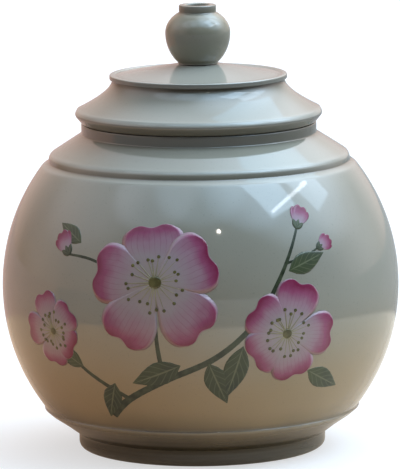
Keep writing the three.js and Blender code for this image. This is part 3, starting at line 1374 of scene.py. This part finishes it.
PETAL = Shape(
    "Petal",
    (
        (0.0, 0.0),
        (0.06, 0.2),
        (0.3, 0.6),
        (0.58, 0.96),
        (0.76, 0.97),
        (0.9, 0.74),
        (0.97, 0.42),
        (1.0, 0.0),
    ),
    notch=0.09,
)
LEAF = Shape(
    "Leaf",
    (
        (0.0, 0.0),
        (0.06, 0.22),
        (0.2, 0.72),
        (0.4, 1.0),
        (0.62, 0.8),
        (0.82, 0.4),
        (0.94, 0.14),
        (1.0, 0.0),
    ),
)
BUD = Shape(
    "Bud",
    ((0.0, 0.0), (0.08, 0.5), (0.3, 0.95), (0.5, 1.0), (0.72, 0.76), (0.9, 0.36), (1.0, 0.0)),
    rows=17,
    columns=9,
)
STAMEN = Shape(
    "Stamen",
    ((0.0, 0.0), (0.08, 1.0), (0.5, 0.75), (0.93, 0.6), (1.0, 0.0)),
    rows=9,
    columns=5,
)
DOT = Shape(
    "Dot",
    ((0.0, 0.0), (0.06, 0.47), (0.2, 0.8), (0.5, 1.0), (0.8, 0.8), (0.94, 0.47), (1.0, 0.0)),
    rows=11,
    columns=7,
)


@dataclass
class Marks:
    """Places, turns, sizes, layers and tones of the motifs that share one shape."""

    places: list[Vector] = field(default_factory=list)
    turns: list[Vector] = field(default_factory=list)
    sizes: list[Vector] = field(default_factory=list)
    layers: list[float] = field(default_factory=list)
    tones: list[float] = field(default_factory=list)

    def add(
        self,
        frame: Matrix,
        direction: float,
        start: float,
        size: Span,
        layer: float,
        tone: float = 0.0,
    ) -> None:
        """Lays one motif on the plane that touches the belly at a frame.

        Args:
            frame: Right, up, outwards and the place, in millimetres.
            direction: Where the motif points, in degrees from right towards up.
            start: How far from the place the motif begins, in millimetres.
            size: Its length and half its width, in millimetres.
            layer: How far it is lifted over the motifs below it, in millimetres.
            tone: What is added to its place in the colour wash.
        """
        turned = frame @ Matrix.Rotation(math.radians(direction), 4, "Z")
        self.places.append(turned @ Vector((start, 0.0, 0.0)) * MM)
        self.turns.append(Vector(turned.to_euler()))
        self.sizes.append(Vector((size[0] * MM, size[1] * MM, 1.0)))
        self.layers.append(layer * MM)
        self.tones.append(tone)

    def attributes(self) -> dict[str, list[Any]]:
        """Returns what each point hands to its motif."""
        return {"turn": self.turns, "size": self.sizes, "layer": self.layers, "tone": self.tones}


def press(tree: Tree, start: Node, geometry: Socket, lift: Any, keep: Any = 0.0) -> Socket:
    """Presses a geometry onto the belly, straight towards the middle of the jar.

    Args:
        tree: The tree.
        start: The tree's input node, with the belly's sizes.
        geometry: What is pressed.
        lift: How far over the belly each point ends.
        keep: How much of a point's own height over the belly is kept.

    Returns:
        The pressed geometry.
    """
    radius = start.outputs["Belly radius"]
    squash = tree.math("DIVIDE", radius, start.outputs["Belly half height"])
    middle = tree.out("ShaderNodeCombineXYZ", {2: start.outputs["Belly level"]})
    reach = tree.out("ShaderNodeCombineXYZ", {0: 1.0, 1: 1.0, 2: squash})
    place = tree.out("GeometryNodeInputPosition")
    away = tree.vector("MULTIPLY", tree.vector("SUBTRACT", place, middle), reach)
    height = tree.math("SUBTRACT", tree.measure("LENGTH", away), radius)
    total = tree.math("ADD", radius, tree.math("ADD", lift, tree.math("MULTIPLY", height, keep)))
    outward = {0: tree.vector("NORMALIZE", away), "Scale": total}
    scaled = tree.out("ShaderNodeVectorMath", outward, operation="SCALE")
    pressed = tree.vector("ADD", tree.vector("DIVIDE", scaled, reach), middle)
    return tree.out("GeometryNodeSetPosition", {"Geometry": geometry, "Position": pressed})


def plateau(tree: Tree, off: Socket, sharpness: float) -> Socket:
    """Returns 1 in the middle of a motif, falling to 0 where the distance off the middle is 1."""
    fall = tree.math("POWER", tree.math("ABSOLUTE", off), sharpness)
    return tree.math("SUBTRACT", 1.0, fall)


def motif_tree(shape: Shape) -> Tree:
    """Builds the tree that lays one flat shape at every mark and presses it onto the belly as a lens.

    Args:
        shape: The motif's flat form.

    Returns:
        The tree. Its first geometry is a point for each motif.
    """
    sizes = ("Notch", "Relief", "Sink", "Depth", *BELLY_SIZES)
    tree, start = geometry_tree(shape.name, ("Rows", "Columns"), sizes)
    given = start.outputs
    grid = {"Size X": 1.0, "Size Y": 2.0, "Vertices X": given["Rows"], "Vertices Y": given["Columns"]}
    motif = tree.out("GeometryNodeMeshGrid", grid)
    place = tree.parts(tree.out("GeometryNodeInputPosition"))
    across = place["Y"]
    angle = tree.math("MULTIPLY", tree.math("ADD", place["X"], 0.5), math.pi)
    along = tree.math("MULTIPLY_ADD", tree.math("COSINE", angle), -0.5, 0.5)
    curve = tree.add("ShaderNodeFloatCurve", {"Value": along})
    points = curve.mapping.curves[0].points
    while len(points) < len(shape.widths):
        points.new(0.5, 0.5)
    for point, width in zip(points, shape.widths, strict=True):
        point.location = width
    curve.mapping.update()
    centred = tree.math("MULTIPLY_ADD", along, 2.0, -1.0)
    raised = tree.math(
        "MULTIPLY",
        plateau(tree, across, shape.side_sharpness),
        plateau(tree, centred, shape.end_sharpness),
    )
    aside = tree.math("MULTIPLY", across, curve.outputs[0])
    squared = tree.math("POWER", tree.math("ABSOLUTE", aside), 2.0)
    spread = tree.math("EXPONENT", tree.math("MULTIPLY", squared, -shape.notch_spread))
    inward = tree.math("MULTIPLY", spread, tree.math("POWER", along, shape.notch_power))
    drawn = tree.math("SUBTRACT", along, tree.math("MULTIPLY", inward, given["Notch"]))
    flat = tree.out("ShaderNodeCombineXYZ", {0: drawn, 1: aside})
    for label, value in (("along", along), ("across", across), ("plateau", raised)):
        stored = {"Geometry": motif, "Name": label, "Value": value}
        motif = tree.out("GeometryNodeStoreNamedAttribute", stored, data_type="FLOAT", domain="POINT")
    motif = tree.out("GeometryNodeSetPosition", {"Geometry": motif, "Position": flat})

    def read(label: str, kind: str = "FLOAT") -> Socket:
        """Reads one of the attributes that the marks or the motif hold."""
        return tree.out("GeometryNodeInputNamedAttribute", {"Name": label}, data_type=kind)

    copies = {
        "Points": given["Geometry"],
        "Instance": motif,
        "Rotation": tree.out("FunctionNodeEulerToRotation", {0: read("turn", "FLOAT_VECTOR")}),
        "Scale": read("size", "FLOAT_VECTOR"),
    }
    laid = tree.out("GeometryNodeInstanceOnPoints", copies)
    laid = tree.out("GeometryNodeRealizeInstances", {0: laid})
    edge = tree.math("SUBTRACT", read("layer"), given["Sink"])
    rise = tree.math("MULTIPLY_ADD", read("plateau"), given["Relief"], edge)
    fall = tree.math("MULTIPLY", read("plateau"), given["Depth"])
    front = press(tree, start, laid, rise)
    back = press(tree, start, laid, tree.math("SUBTRACT", edge, fall))
    both = tree.add("GeometryNodeJoinGeometry")
    for side in (tree.out("GeometryNodeFlipFaces", {0: back}), front):
        tree.tree.links.new(side, both.inputs[0])
    close_tree(tree, start, both.outputs[0], ("turn", "size", "layer", "plateau"))
    return tree


def stroke_tree() -> Tree:
    """Builds the tree that brushes strokes along lines and presses them onto the belly.

    Returns:
        The tree. Its first geometry is the strokes' lines, with half of each point's width.
    """
    tree, start = geometry_tree("Stroke", ("Sides",), ("Flatness", *BELLY_SIZES))
    given = start.outputs
    width = tree.out("GeometryNodeInputNamedAttribute", {"Name": "half_width"}, data_type="FLOAT")
    circle = {"Resolution": given["Sides"], "Radius": 1.0}
    tube = {
        "Curve": tree.out("GeometryNodeMeshToCurve", {0: given["Geometry"]}),
        "Profile Curve": tree.out("GeometryNodeCurvePrimitiveCircle", circle),
        "Scale": width,
        "Fill Caps": True,
    }
    brushed = tree.out("GeometryNodeCurveToMesh", tube)
    pressed = press(tree, start, brushed, 0.0, given["Flatness"])
    close_tree(tree, start, pressed, ("half_width",))
    return tree


@dataclass(frozen=True)
class Blossom:
    """One open blossom: its place, petal length, turn, and how far it is seen from the side."""

    azimuth: float
    height: float
    petal: float
    turn: float
    lean: float = 0.0
    tilt: float = 0.0


@dataclass(frozen=True)
class Sprig:
    """One leaf or bud: its place, direction, length and half width."""

    azimuth: float
    height: float
    direction: float
    length: float
    half_width: float
    tone: float = 0.0


@dataclass(frozen=True)
class Stroke:
    """One brush stroke: points of (azimuth, height, half width) that it runs smoothly through."""

    points: tuple[Triple, ...]


BLOSSOMS = (
    Blossom(-13.0, 84.0, 31.0, 98.0, 250.0, 0.22),
    Blossom(25.0, 61.0, 23.5, 70.0, 20.0, 0.3),
    Blossom(-47.0, 60.0, 18.0, 115.0, 160.0, 0.3),
)
LEAVES = (
    Sprig(-6.0, 49.0, 205.0, 24.0, 5.6, 0.1),
    Sprig(2.0, 50.0, 292.0, 22.0, 5.2, 0.4),
    Sprig(12.0, 57.0, 255.0, 26.0, 5.4),
    Sprig(33.0, 44.0, 330.0, 22.0, 4.8, 0.3),
    Sprig(26.0, 87.0, 20.0, 20.0, 4.6, 0.2),
    Sprig(-37.0, 46.0, 150.0, 17.0, 4.2, 0.3),
    Sprig(-27.0, 40.0, 250.0, 20.0, 4.6),
    Sprig(-38.0, 98.0, 150.0, 16.0, 3.8, 0.4),
)
BUDS = (
    Sprig(31.0, 104.0, 62.0, 11.0, 4.2, 0.1),
    Sprig(37.0, 95.0, 25.0, 9.0, 3.4, 0.16),
    Sprig(-42.0, 93.0, 128.0, 12.0, 4.4, 0.12),
)
STROKES = (
    Stroke(
        (
            (-31.0, 24.5, 1.9),
            (-23.0, 33.0, 1.6),
            (-11.0, 42.0, 1.45),
            (4.0, 52.0, 1.3),
            (15.0, 66.0, 1.1),
            (23.0, 84.0, 0.9),
            (31.0, 104.0, 0.55),
        )
    ),
    Stroke(((-11.0, 42.0, 1.1), (-12.5, 56.0, 0.9), (-13.0, 70.0, 0.7))),
    Stroke(((-23.0, 33.0, 1.1), (-35.0, 43.0, 0.9), (-46.0, 56.0, 0.65))),
    Stroke(((-25.0, 88.0, 0.5), (-34.0, 92.0, 0.6), (-42.0, 93.0, 0.5))),
    Stroke(((15.0, 62.0, 0.8), (20.0, 58.0, 0.7), (25.0, 57.0, 0.55))),
    Stroke(((25.0, 90.0, 0.6), (31.0, 92.0, 0.5), (37.0, 95.0, 0.4))),
)


@dataclass(frozen=True)
class Wrap:
    """One petal of a bud: its turn, its shares of the bud's length and width, and its layer."""

    turn: float
    length: float
    width: float
    layer: int


WRAPS = (
    Wrap(-16.0, 0.92, 0.62, 2),
    Wrap(17.0, 0.9, 0.62, 3),
    Wrap(0.0, 1.0, 0.8, 4),
)


def smooth_run(points: tuple[Triple, ...], steps: int) -> list[tuple[float, ...]]:
    """Runs a smooth curve through points.

    Args:
        points: The points.
        steps: How many steps go between two points.

    Returns:
        The points along the curve.
    """
    ends = [points[0], *points, points[-1]]
    run: list[tuple[float, ...]] = []
    for around in zip(ends, ends[1:], ends[2:], ends[3:], strict=False):
        for step in range(steps):
            share = step / steps
            values = []
            for before, here, there, after in zip(*around, strict=True):
                slope = there - before
                bend = 2 * before - 5 * here + 4 * there - after
                twist = 3 * here - before - 3 * there + after
                values.append((2 * here + slope * share + bend * share**2 + twist * share**3) / 2)
            run.append(tuple(values))
    run.append(points[-1])
    return run


@dataclass
class Spray:
    """Enamelled branch in blossom on the front of the jar.

    Relief, sink, depth, layers, the stamens' half width, the anthers and the sepals' start are in
    millimetres, turns and sways in degrees. Other sizes are shares of a blossom's petal or of a bud.
    """

    belly: Belly
    relief: float = 0.1
    sink: float = 0.05
    depth: float = 0.35
    layer_step: float = 0.03
    seed: int = 7
    petals: int = 5
    petal_sway: float = 5.0
    petal_start: float = 0.04
    petal_half_width: float = 0.46
    petal_lengths: Span = (0.95, 1.04)
    petal_widths: Span = (0.95, 1.05)
    petal_tones: Span = (-0.05, 0.07)
    petal_layer: int = 2
    stamens: int = 22
    stamen_sway: float = 6.0
    stamen_start: float = 0.05
    stamen_lengths: Span = (0.22, 0.4)
    stamen_half_width: float = 0.22
    anther_overlap: float = 0.4
    anther_size: Span = (1.5, 0.75)
    heart_radius: float = 0.09
    sepal_turns: Triple = (-38.0, 38.0, 0.0)
    sepal_size: Span = (0.42, 0.3)
    sepal_start: float = -0.6
    sepal_layer: int = 5
    sepal_tone: float = 0.2
    stroke_steps: int = 14
    stroke_sides: int = 16
    stroke_flatness: float = 0.03
    marks: defaultdict[str, Marks] = field(default_factory=lambda: defaultdict(Marks))

    def belly_values(self) -> dict[str, float]:
        """Returns the belly's sizes for the geometry trees, in metres."""
        sizes = (self.belly.radius, self.belly.upper, self.belly.level)
        return {label: size * MM for label, size in zip(BELLY_SIZES, sizes, strict=True)}

    def open_blossom(self, blossom: Blossom, chance: random.Random) -> None:
        """Marks the petals, stamens and anthers of one blossom.

        Args:
            blossom: The blossom.
            chance: Source of the small differences between its petals.
        """
        frame = self.belly.frame(blossom.azimuth, blossom.height)
        petal = blossom.petal
        for index in range(self.petals):
            sway = chance.uniform(-self.petal_sway, self.petal_sway)
            direction = blossom.turn + 360.0 * index / self.petals + sway
            facing = math.cos(math.radians(direction - blossom.lean))
            stretch = 1.0 + blossom.tilt * facing / 2 - blossom.tilt / 3
            narrowing = 1.0 - blossom.tilt * abs(facing) / 6
            length = petal * stretch * chance.uniform(*self.petal_lengths)
            half_width = petal * self.petal_half_width * narrowing * chance.uniform(*self.petal_widths)
            layer = self.layer_step * (index + self.petal_layer)
            tone = chance.uniform(*self.petal_tones)
            start = self.petal_start * petal
            self.marks[PETAL.name].add(frame, direction, start, (length, half_width), layer, tone)
        heart = self.layer_step * (self.petals + self.petal_layer)
        over_heart = heart + self.layer_step
        start = self.stamen_start * petal
        for index in range(self.stamens):
            sway = chance.uniform(-self.stamen_sway, self.stamen_sway)
            direction = 360.0 * index / self.stamens + sway
            length = petal * chance.uniform(*self.stamen_lengths)
            size = (length, self.stamen_half_width)
            tip = start + length - self.anther_overlap
            self.marks[STAMEN.name].add(frame, direction, start, size, heart)
            self.marks[DOT.name].add(frame, direction, tip, self.anther_size, over_heart)
        radius = self.heart_radius * petal
        self.marks[DOT.name].add(frame, 0.0, -radius, (2 * radius, radius), over_heart)

    def close_bud(self, bud: Sprig) -> None:
        """Marks the petals and sepals of one bud.

        Args:
            bud: The bud.
        """
        frame = self.belly.frame(bud.azimuth, bud.height)
        for wrap in WRAPS:
            size = (bud.length * wrap.length, bud.half_width * wrap.width)
            layer = wrap.layer * self.layer_step
            self.marks[PETAL.name].add(frame, bud.direction + wrap.turn, 0.0, size, layer, bud.tone)
        size = (bud.length * self.sepal_size[0], bud.half_width * self.sepal_size[1])
        layer = self.sepal_layer * self.layer_step
        for turn in self.sepal_turns:
            direction = bud.direction + turn
            self.marks[BUD.name].add(frame, direction, self.sepal_start, size, layer, self.sepal_tone)

    def mark(self) -> None:
        """Marks every petal, leaf, sepal, stamen and anther of the spray."""
        chance = random.Random(self.seed)
        for blossom in BLOSSOMS:
            self.open_blossom(blossom, chance)
        for leaf in LEAVES:
            frame = self.belly.frame(leaf.azimuth, leaf.height)
            size = (leaf.length, leaf.half_width)
            self.marks[LEAF.name].add(frame, leaf.direction, 0.0, size, self.layer_step, leaf.tone)
        for bud in BUDS:
            self.close_bud(bud)

    def lay(self, name: str, shape: Shape, finish: bpy.types.Material) -> None:
        """Builds the motifs of one shape as a piece that rides on the jar.

        Args:
            name: The piece's name.
            shape: The motifs' flat form.
            finish: Their enamel.
        """
        marks = self.marks[shape.name]
        piece = new_piece(name, marks.places, [], marks.attributes())
        values = {
            "Rows": shape.rows,
            "Columns": shape.columns,
            "Notch": shape.notch,
            "Relief": self.relief * MM,
            "Sink": self.sink * MM,
            "Depth": self.depth * MM,
            "Finish": finish,
            **self.belly_values(),
        }
        run_tree(piece, motif_tree(shape), values)
        self.attach(piece)

    def brush(self, name: str, finish: bpy.types.Material) -> None:
        """Builds the branch and its twigs as a piece that rides on the jar.

        Args:
            name: The piece's name.
            finish: Its enamel.
        """
        places: list[Vector] = []
        edges: list[tuple[int, int]] = []
        widths: list[float] = []
        for stroke in STROKES:
            run = smooth_run(stroke.points, self.stroke_steps)
            for index, (azimuth, height, width) in enumerate(run):
                if index:
                    edges.append((len(places) - 1, len(places)))
                places.append(self.belly.frame(azimuth, height).translation * MM)
                widths.append(width * MM)
        piece = new_piece(name, places, edges, {"half_width": widths})
        values = {
            "Sides": self.stroke_sides,
            "Flatness": self.stroke_flatness,
            "Finish": finish,
            **self.belly_values(),
        }
        run_tree(piece, stroke_tree(), values)
        self.attach(piece)

    def attach(self, piece: bpy.types.Object) -> None:
        """Lets a painted piece ride on the jar and logs it.

        Args:
            piece: The piece.
        """
        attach(piece, Body.JAR.value)
        LOG.info("%s: %d faces", piece.name, len(piece.data.polygons))

    def build(self) -> None:
        """Builds the branch, leaves, petals, sepals, stamens and anthers."""
        self.mark()
        leaf = LeafEnamel().material()
        stamen = BrushedEnamel("stamen_enamel", "8a8464", "a09a78").material()
        anther = BrushedEnamel("anther_enamel", "4f4a2c", "6d6840").material()
        self.brush("painted_branch", BrushedEnamel("branch_enamel", "2e3527", "454d39").material())
        self.lay("painted_leaves", LEAF, leaf)
        self.lay("painted_petals", PETAL, PetalEnamel().material())
        self.lay("painted_sepals", BUD, leaf)
        self.lay("painted_stamens", STAMEN, stamen)
        self.lay("painted_anthers", DOT, anther)


@dataclass(frozen=True)
class Lamp:
    """A soft panel: its name, place, aim, width, height, power and colour, in metres and watts."""

    name: str
    place: Triple
    aim: Triple
    width: float
    height: float
    power: float
    tint: str

    def build(self) -> None:
        """Adds the panel to the scene."""
        data = bpy.data.lights.new(self.name, "AREA")
        data.shape = "RECTANGLE"
        data.size = self.width
        data.size_y = self.height
        data.energy = self.power
        data.color = colour(self.tint)[:3]
        lamp = bpy.data.objects.new(self.name, data)
        lamp.location = self.place
        aim = Vector(self.aim) - Vector(self.place)
        lamp.rotation_euler = aim.to_track_quat("-Z", "Y").to_euler()
        bpy.context.scene.collection.objects.link(lamp)


LAMPS = (
    Lamp("window_edge", (1.064, -0.226, 1.132), (0.0, 0.0, 0.1), 0.9, 0.045, 0.7, "eef6ff"),
    Lamp("ceiling_spot", (0.27, -1.2, 1.02), (0.0, 0.0, 0.1), 0.05, 0.05, 0.24, "fff6ea"),
)


@dataclass(frozen=True)
class Bright:
    """A bright part of the dome: its name and its middle, in degrees right of the front and up."""

    name: str
    azimuth: float
    elevation: float

    def toward(self) -> Vector:
        """Works out where the middle is.

        Returns:
            Its direction, of length 1.
        """
        turn = math.radians(self.azimuth)
        lift = math.radians(self.elevation)
        level = math.cos(lift)
        return Vector((level * math.sin(turn), -level * math.cos(turn), math.sin(lift)))


@dataclass(frozen=True)
class Glow(Bright):
    """A soft stretch of light, which begins at its edge and is full at its core.

    Both are cosines of the angle from the middle.
    """

    edge: float
    core: float
    light: Triple

    def share(self, tree: Tree, ray: Socket) -> Socket:
        """Returns how much of the glow's light comes along a ray, from 0 to 1."""
        return tree.ramp(tree.measure("DOT_PRODUCT", ray, self.toward()), self.edge, self.core)


@dataclass(frozen=True)
class Pane(Bright):
    """A window with crisp edges; its half sizes and the width of its edge are tangents."""

    half_width: float
    half_height: float
    light: Triple
    edge: float = 0.03
    ahead_least: float = 0.001

    def share(self, tree: Tree, ray: Socket) -> Socket:
        """Tells which rays go through the window.

        Args:
            tree: The tree of the dome.
            ray: The direction of a ray.

        Returns:
            1 within the window and 0 outside it.
        """
        toward = self.toward()
        across = Vector((0.0, 0.0, 1.0)).cross(toward).normalized()
        ahead = tree.math("MAXIMUM", tree.measure("DOT_PRODUCT", ray, toward), self.ahead_least)
        shares = []
        for axis, half in ((across, self.half_width), (toward.cross(across), self.half_height)):
            aside = tree.math("DIVIDE", tree.measure("DOT_PRODUCT", ray, axis), ahead)
            shares.append(tree.ramp(tree.math("ABSOLUTE", aside), half, half - self.edge))
        return tree.math("MULTIPLY", *shares)


BRIGHTS = (
    Glow("front_sky", 0.0, 64.0, 0.9, 0.96, (0.5, 0.74, 0.96)),
    Glow("front_right", 45.0, 58.0, 0.9, 0.96, (0.4, 0.62, 0.86)),
    Glow("front_left", -45.0, 58.0, 0.9, 0.96, (0.56, 0.66, 0.8)),
    Glow("window_right", 112.0, 38.0, 0.88, 0.95, (0.35, 0.37, 0.42)),
    Glow("window", 86.0, 54.0, 0.72, 0.96, (1.25, 1.72, 2.2)),
    Glow("window_far", 150.0, 60.0, 0.7, 0.98, (1.4, 1.6, 1.8)),
    Glow("window_wall", 130.0, 25.0, 0.6, 0.98, (0.76, 0.68, 0.63)),
    Glow("right_wall", 95.0, 5.0, 0.75, 0.98, (0.23, 0.25, 0.31)),
    Glow("back_wall", 185.0, 20.0, 0.6, 0.98, (0.62, 0.46, 0.42)),
    Glow("left_back", -130.0, 10.0, 0.6, 0.98, (0.36, 0.19, 0.1)),
    Glow("left_wall", -85.0, 15.0, 0.6, 0.98, (0.51, 0.43, 0.41)),
    Glow("left_high", -95.0, 45.0, 0.8, 0.96, (0.3, 0.32, 0.37)),
    Pane("left_pane", 67.0, 54.0, 0.18, 0.26, (1.8, 2.5, 3.2)),
    Pane("right_pane", 101.0, 47.0, 0.165, 0.3, (1.2, 1.7, 2.2)),
    Pane("far_pane", 145.0, 54.0, 0.22, 0.25, (0.35, 0.8, 1.15)),
)


@dataclass(frozen=True)
class PaleFloor(Finish):
    """Floor that is white to the eye, warm where it lights the jar and tinted where glaze mirrors it.

    Colours are linear, and lengths are in metres. The table lies near the jar and fades at its radius.
    """

    name: str = "pale_floor"
    glow: float = 0.6
    mirrored: float = 0.35
    table_radius: float = 0.285
    table_fade: float = 0.32
    half_width: float = 0.2
    half_depth: float = 0.1
    table_left: Triple = (0.6, 0.31, 0.125)
    table_right: Triple = (0.76, 0.63, 0.48)
    beyond: Triple = (0.05, 0.05, 0.05)
    mirrored_left: Triple = (0.75, 0.55, 0.38)
    mirrored_right: Triple = (0.95, 0.88, 0.72)
    mirrored_front: Triple = (0.6, 0.5, 0.42)
    mirrored_back_left: Triple = (2.2, 1.0, 0.5)
    mirrored_back_right: Triple = (1.0, 0.95, 0.85)
    roughness: float = 0.9

    def look(self, tree: Tree) -> Inputs:
        """Mixes the floor's colour, glow and roughness.

        Args:
            tree: The material's tree.

        Returns:
            What goes into the inputs of the Principled shader.
        """
        place = tree.place()
        part = tree.parts(place)
        right = tree.ramp(part["X"], -self.half_width, self.half_width)
        behind = tree.ramp(part["Y"], -self.half_depth, self.half_depth)
        away = tree.ramp(tree.measure("LENGTH", place), self.table_radius, self.table_fade)
        bounce = tree.mix(right, opaque(self.table_left), opaque(self.table_right))
        bounce = tree.mix(away, bounce, opaque(self.beyond))
        near = tree.mix(right, opaque(self.mirrored_left), opaque(self.mirrored_right))
        far = tree.mix(right, opaque(self.mirrored_back_left), opaque(self.mirrored_back_right))
        far = tree.mix(behind, opaque(self.mirrored_front), far)
        seen = tree.seen(self.mirrored)
        glossy = tree.add("ShaderNodeLightPath").outputs["Is Glossy Ray"]
        return {
            "Base Color": tree.mix(seen, bounce, grey(1.0 - self.glow)),
            "Emission Strength": tree.math("MULTIPLY", seen, self.glow),
            "Emission Color": tree.mix(glossy, grey(1.0), tree.mix(away, near, far)),
            "Roughness": self.roughness,
            "Specular IOR Level": 0.0,
        }


@dataclass
class Studio:
    """Pale floor, dome and panels, and the camera at the photograph's angle.

    Lengths are in metres, angles in degrees, the focal length in pixels and the sensor in millimetres.
    """

    distance: float = 2.2
    target: float = 0.095
    elevation: float = 8.71
    dip: float = 0.098
    roll: float = -0.66
    focal: float = 5129.5
    sensor: float = 36.0
    clip_end: float = 60.0
    floor_radius: float = 9.0
    floor_drop: float = 0.00015
    floor_sides: int = 96
    mirrored_dome: float = 0.05
    dim: float = 0.03

    def camera(self) -> None:
        """Adds the camera."""
        data = bpy.data.cameras.new("camera")
        data.sensor_width = self.sensor
        data.lens = self.focal / max(IMAGE_WIDTH, IMAGE_HEIGHT) * self.sensor
        data.clip_end = self.clip_end
        lift = math.radians(self.elevation)
        height = self.target + self.distance * math.sin(lift)
        place = Vector((0.0, -self.distance * math.cos(lift), height))
        pitch = math.radians(self.elevation + self.dip)
        right = Vector((1.0, 0.0, 0.0))
        back = Vector((0.0, -math.cos(pitch), math.sin(pitch)))
        level = Matrix((right, back.cross(right), back)).transposed()
        turned = Matrix.Rotation(math.radians(self.roll), 3, back) @ level
        camera = bpy.data.objects.new("camera", data)
        camera.matrix_world = Matrix.Translation(place) @ turned.to_4x4()
        bpy.context.scene.collection.objects.link(camera)
        bpy.context.scene.camera = camera

    def floor(self) -> None:
        """Adds the floor."""
        places = []
        for side in range(self.floor_sides):
            angle = 2 * math.pi * side / self.floor_sides
            across = self.floor_radius * math.cos(angle)
            behind = self.floor_radius * math.sin(angle)
            places.append((across, behind, -self.floor_drop))
        mesh = bpy.data.meshes.new("floor")
        mesh.from_pydata(places, [], [range(self.floor_sides)])
        floor = bpy.data.objects.new("floor", mesh)
        bpy.context.scene.collection.objects.link(floor)
        floor.data.materials.append(PaleFloor().material())

    def dome(self) -> None:
        """Lights the scene from a dome of glows and windows that is dim in front."""
        world = bpy.data.worlds.new("dome")
        world.use_nodes = True
        world.node_tree.nodes.clear()
        tree = Tree(world.node_tree)
        ray = tree.add("ShaderNodeTexCoord").outputs["Generated"]
        sky: Any = grey(self.dim)
        for bright in BRIGHTS:
            lit = tree.mix(1.0, sky, opaque(bright.light), "ADD")
            sky = tree.mix(bright.share(tree, ray), sky, lit)
            sky.node.label = bright.name
        sky = tree.mix(tree.seen(self.mirrored_dome), sky, grey(1.0))
        light = tree.out("ShaderNodeBackground", {"Color": sky, "Strength": 1.0})
        tree.add("ShaderNodeOutputWorld", {"Surface": light})
        bpy.context.scene.world = world

    def build(self) -> None:
        """Adds the camera, the floor, the dome and the panels."""
        bpy.context.scene.view_settings.view_transform = "Standard"
        self.camera()
        self.floor()
        self.dome()
        for lamp in LAMPS:
            lamp.build()
        LOG.info("studio: camera, floor, dome and %d panels", len(LAMPS))


def main() -> None:
    """Builds the canister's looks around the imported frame."""
    logging.basicConfig(level=logging.INFO, format="%(name)s: %(message)s")
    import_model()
    turning = turning_tree()
    jar = Jar()
    jar.build(turning, Glaze("jar_glaze").material())
    Lid().build(turning, Glaze("lid_glaze", high="8c897b").material())
    Seal().build(turning, Silicone().material())
    Knob().build(turning, Glaze("knob_glaze", high="88816c").material())
    Spray(jar.belly()).build()
    Studio().build()


if __name__ == "__main__":
    main()
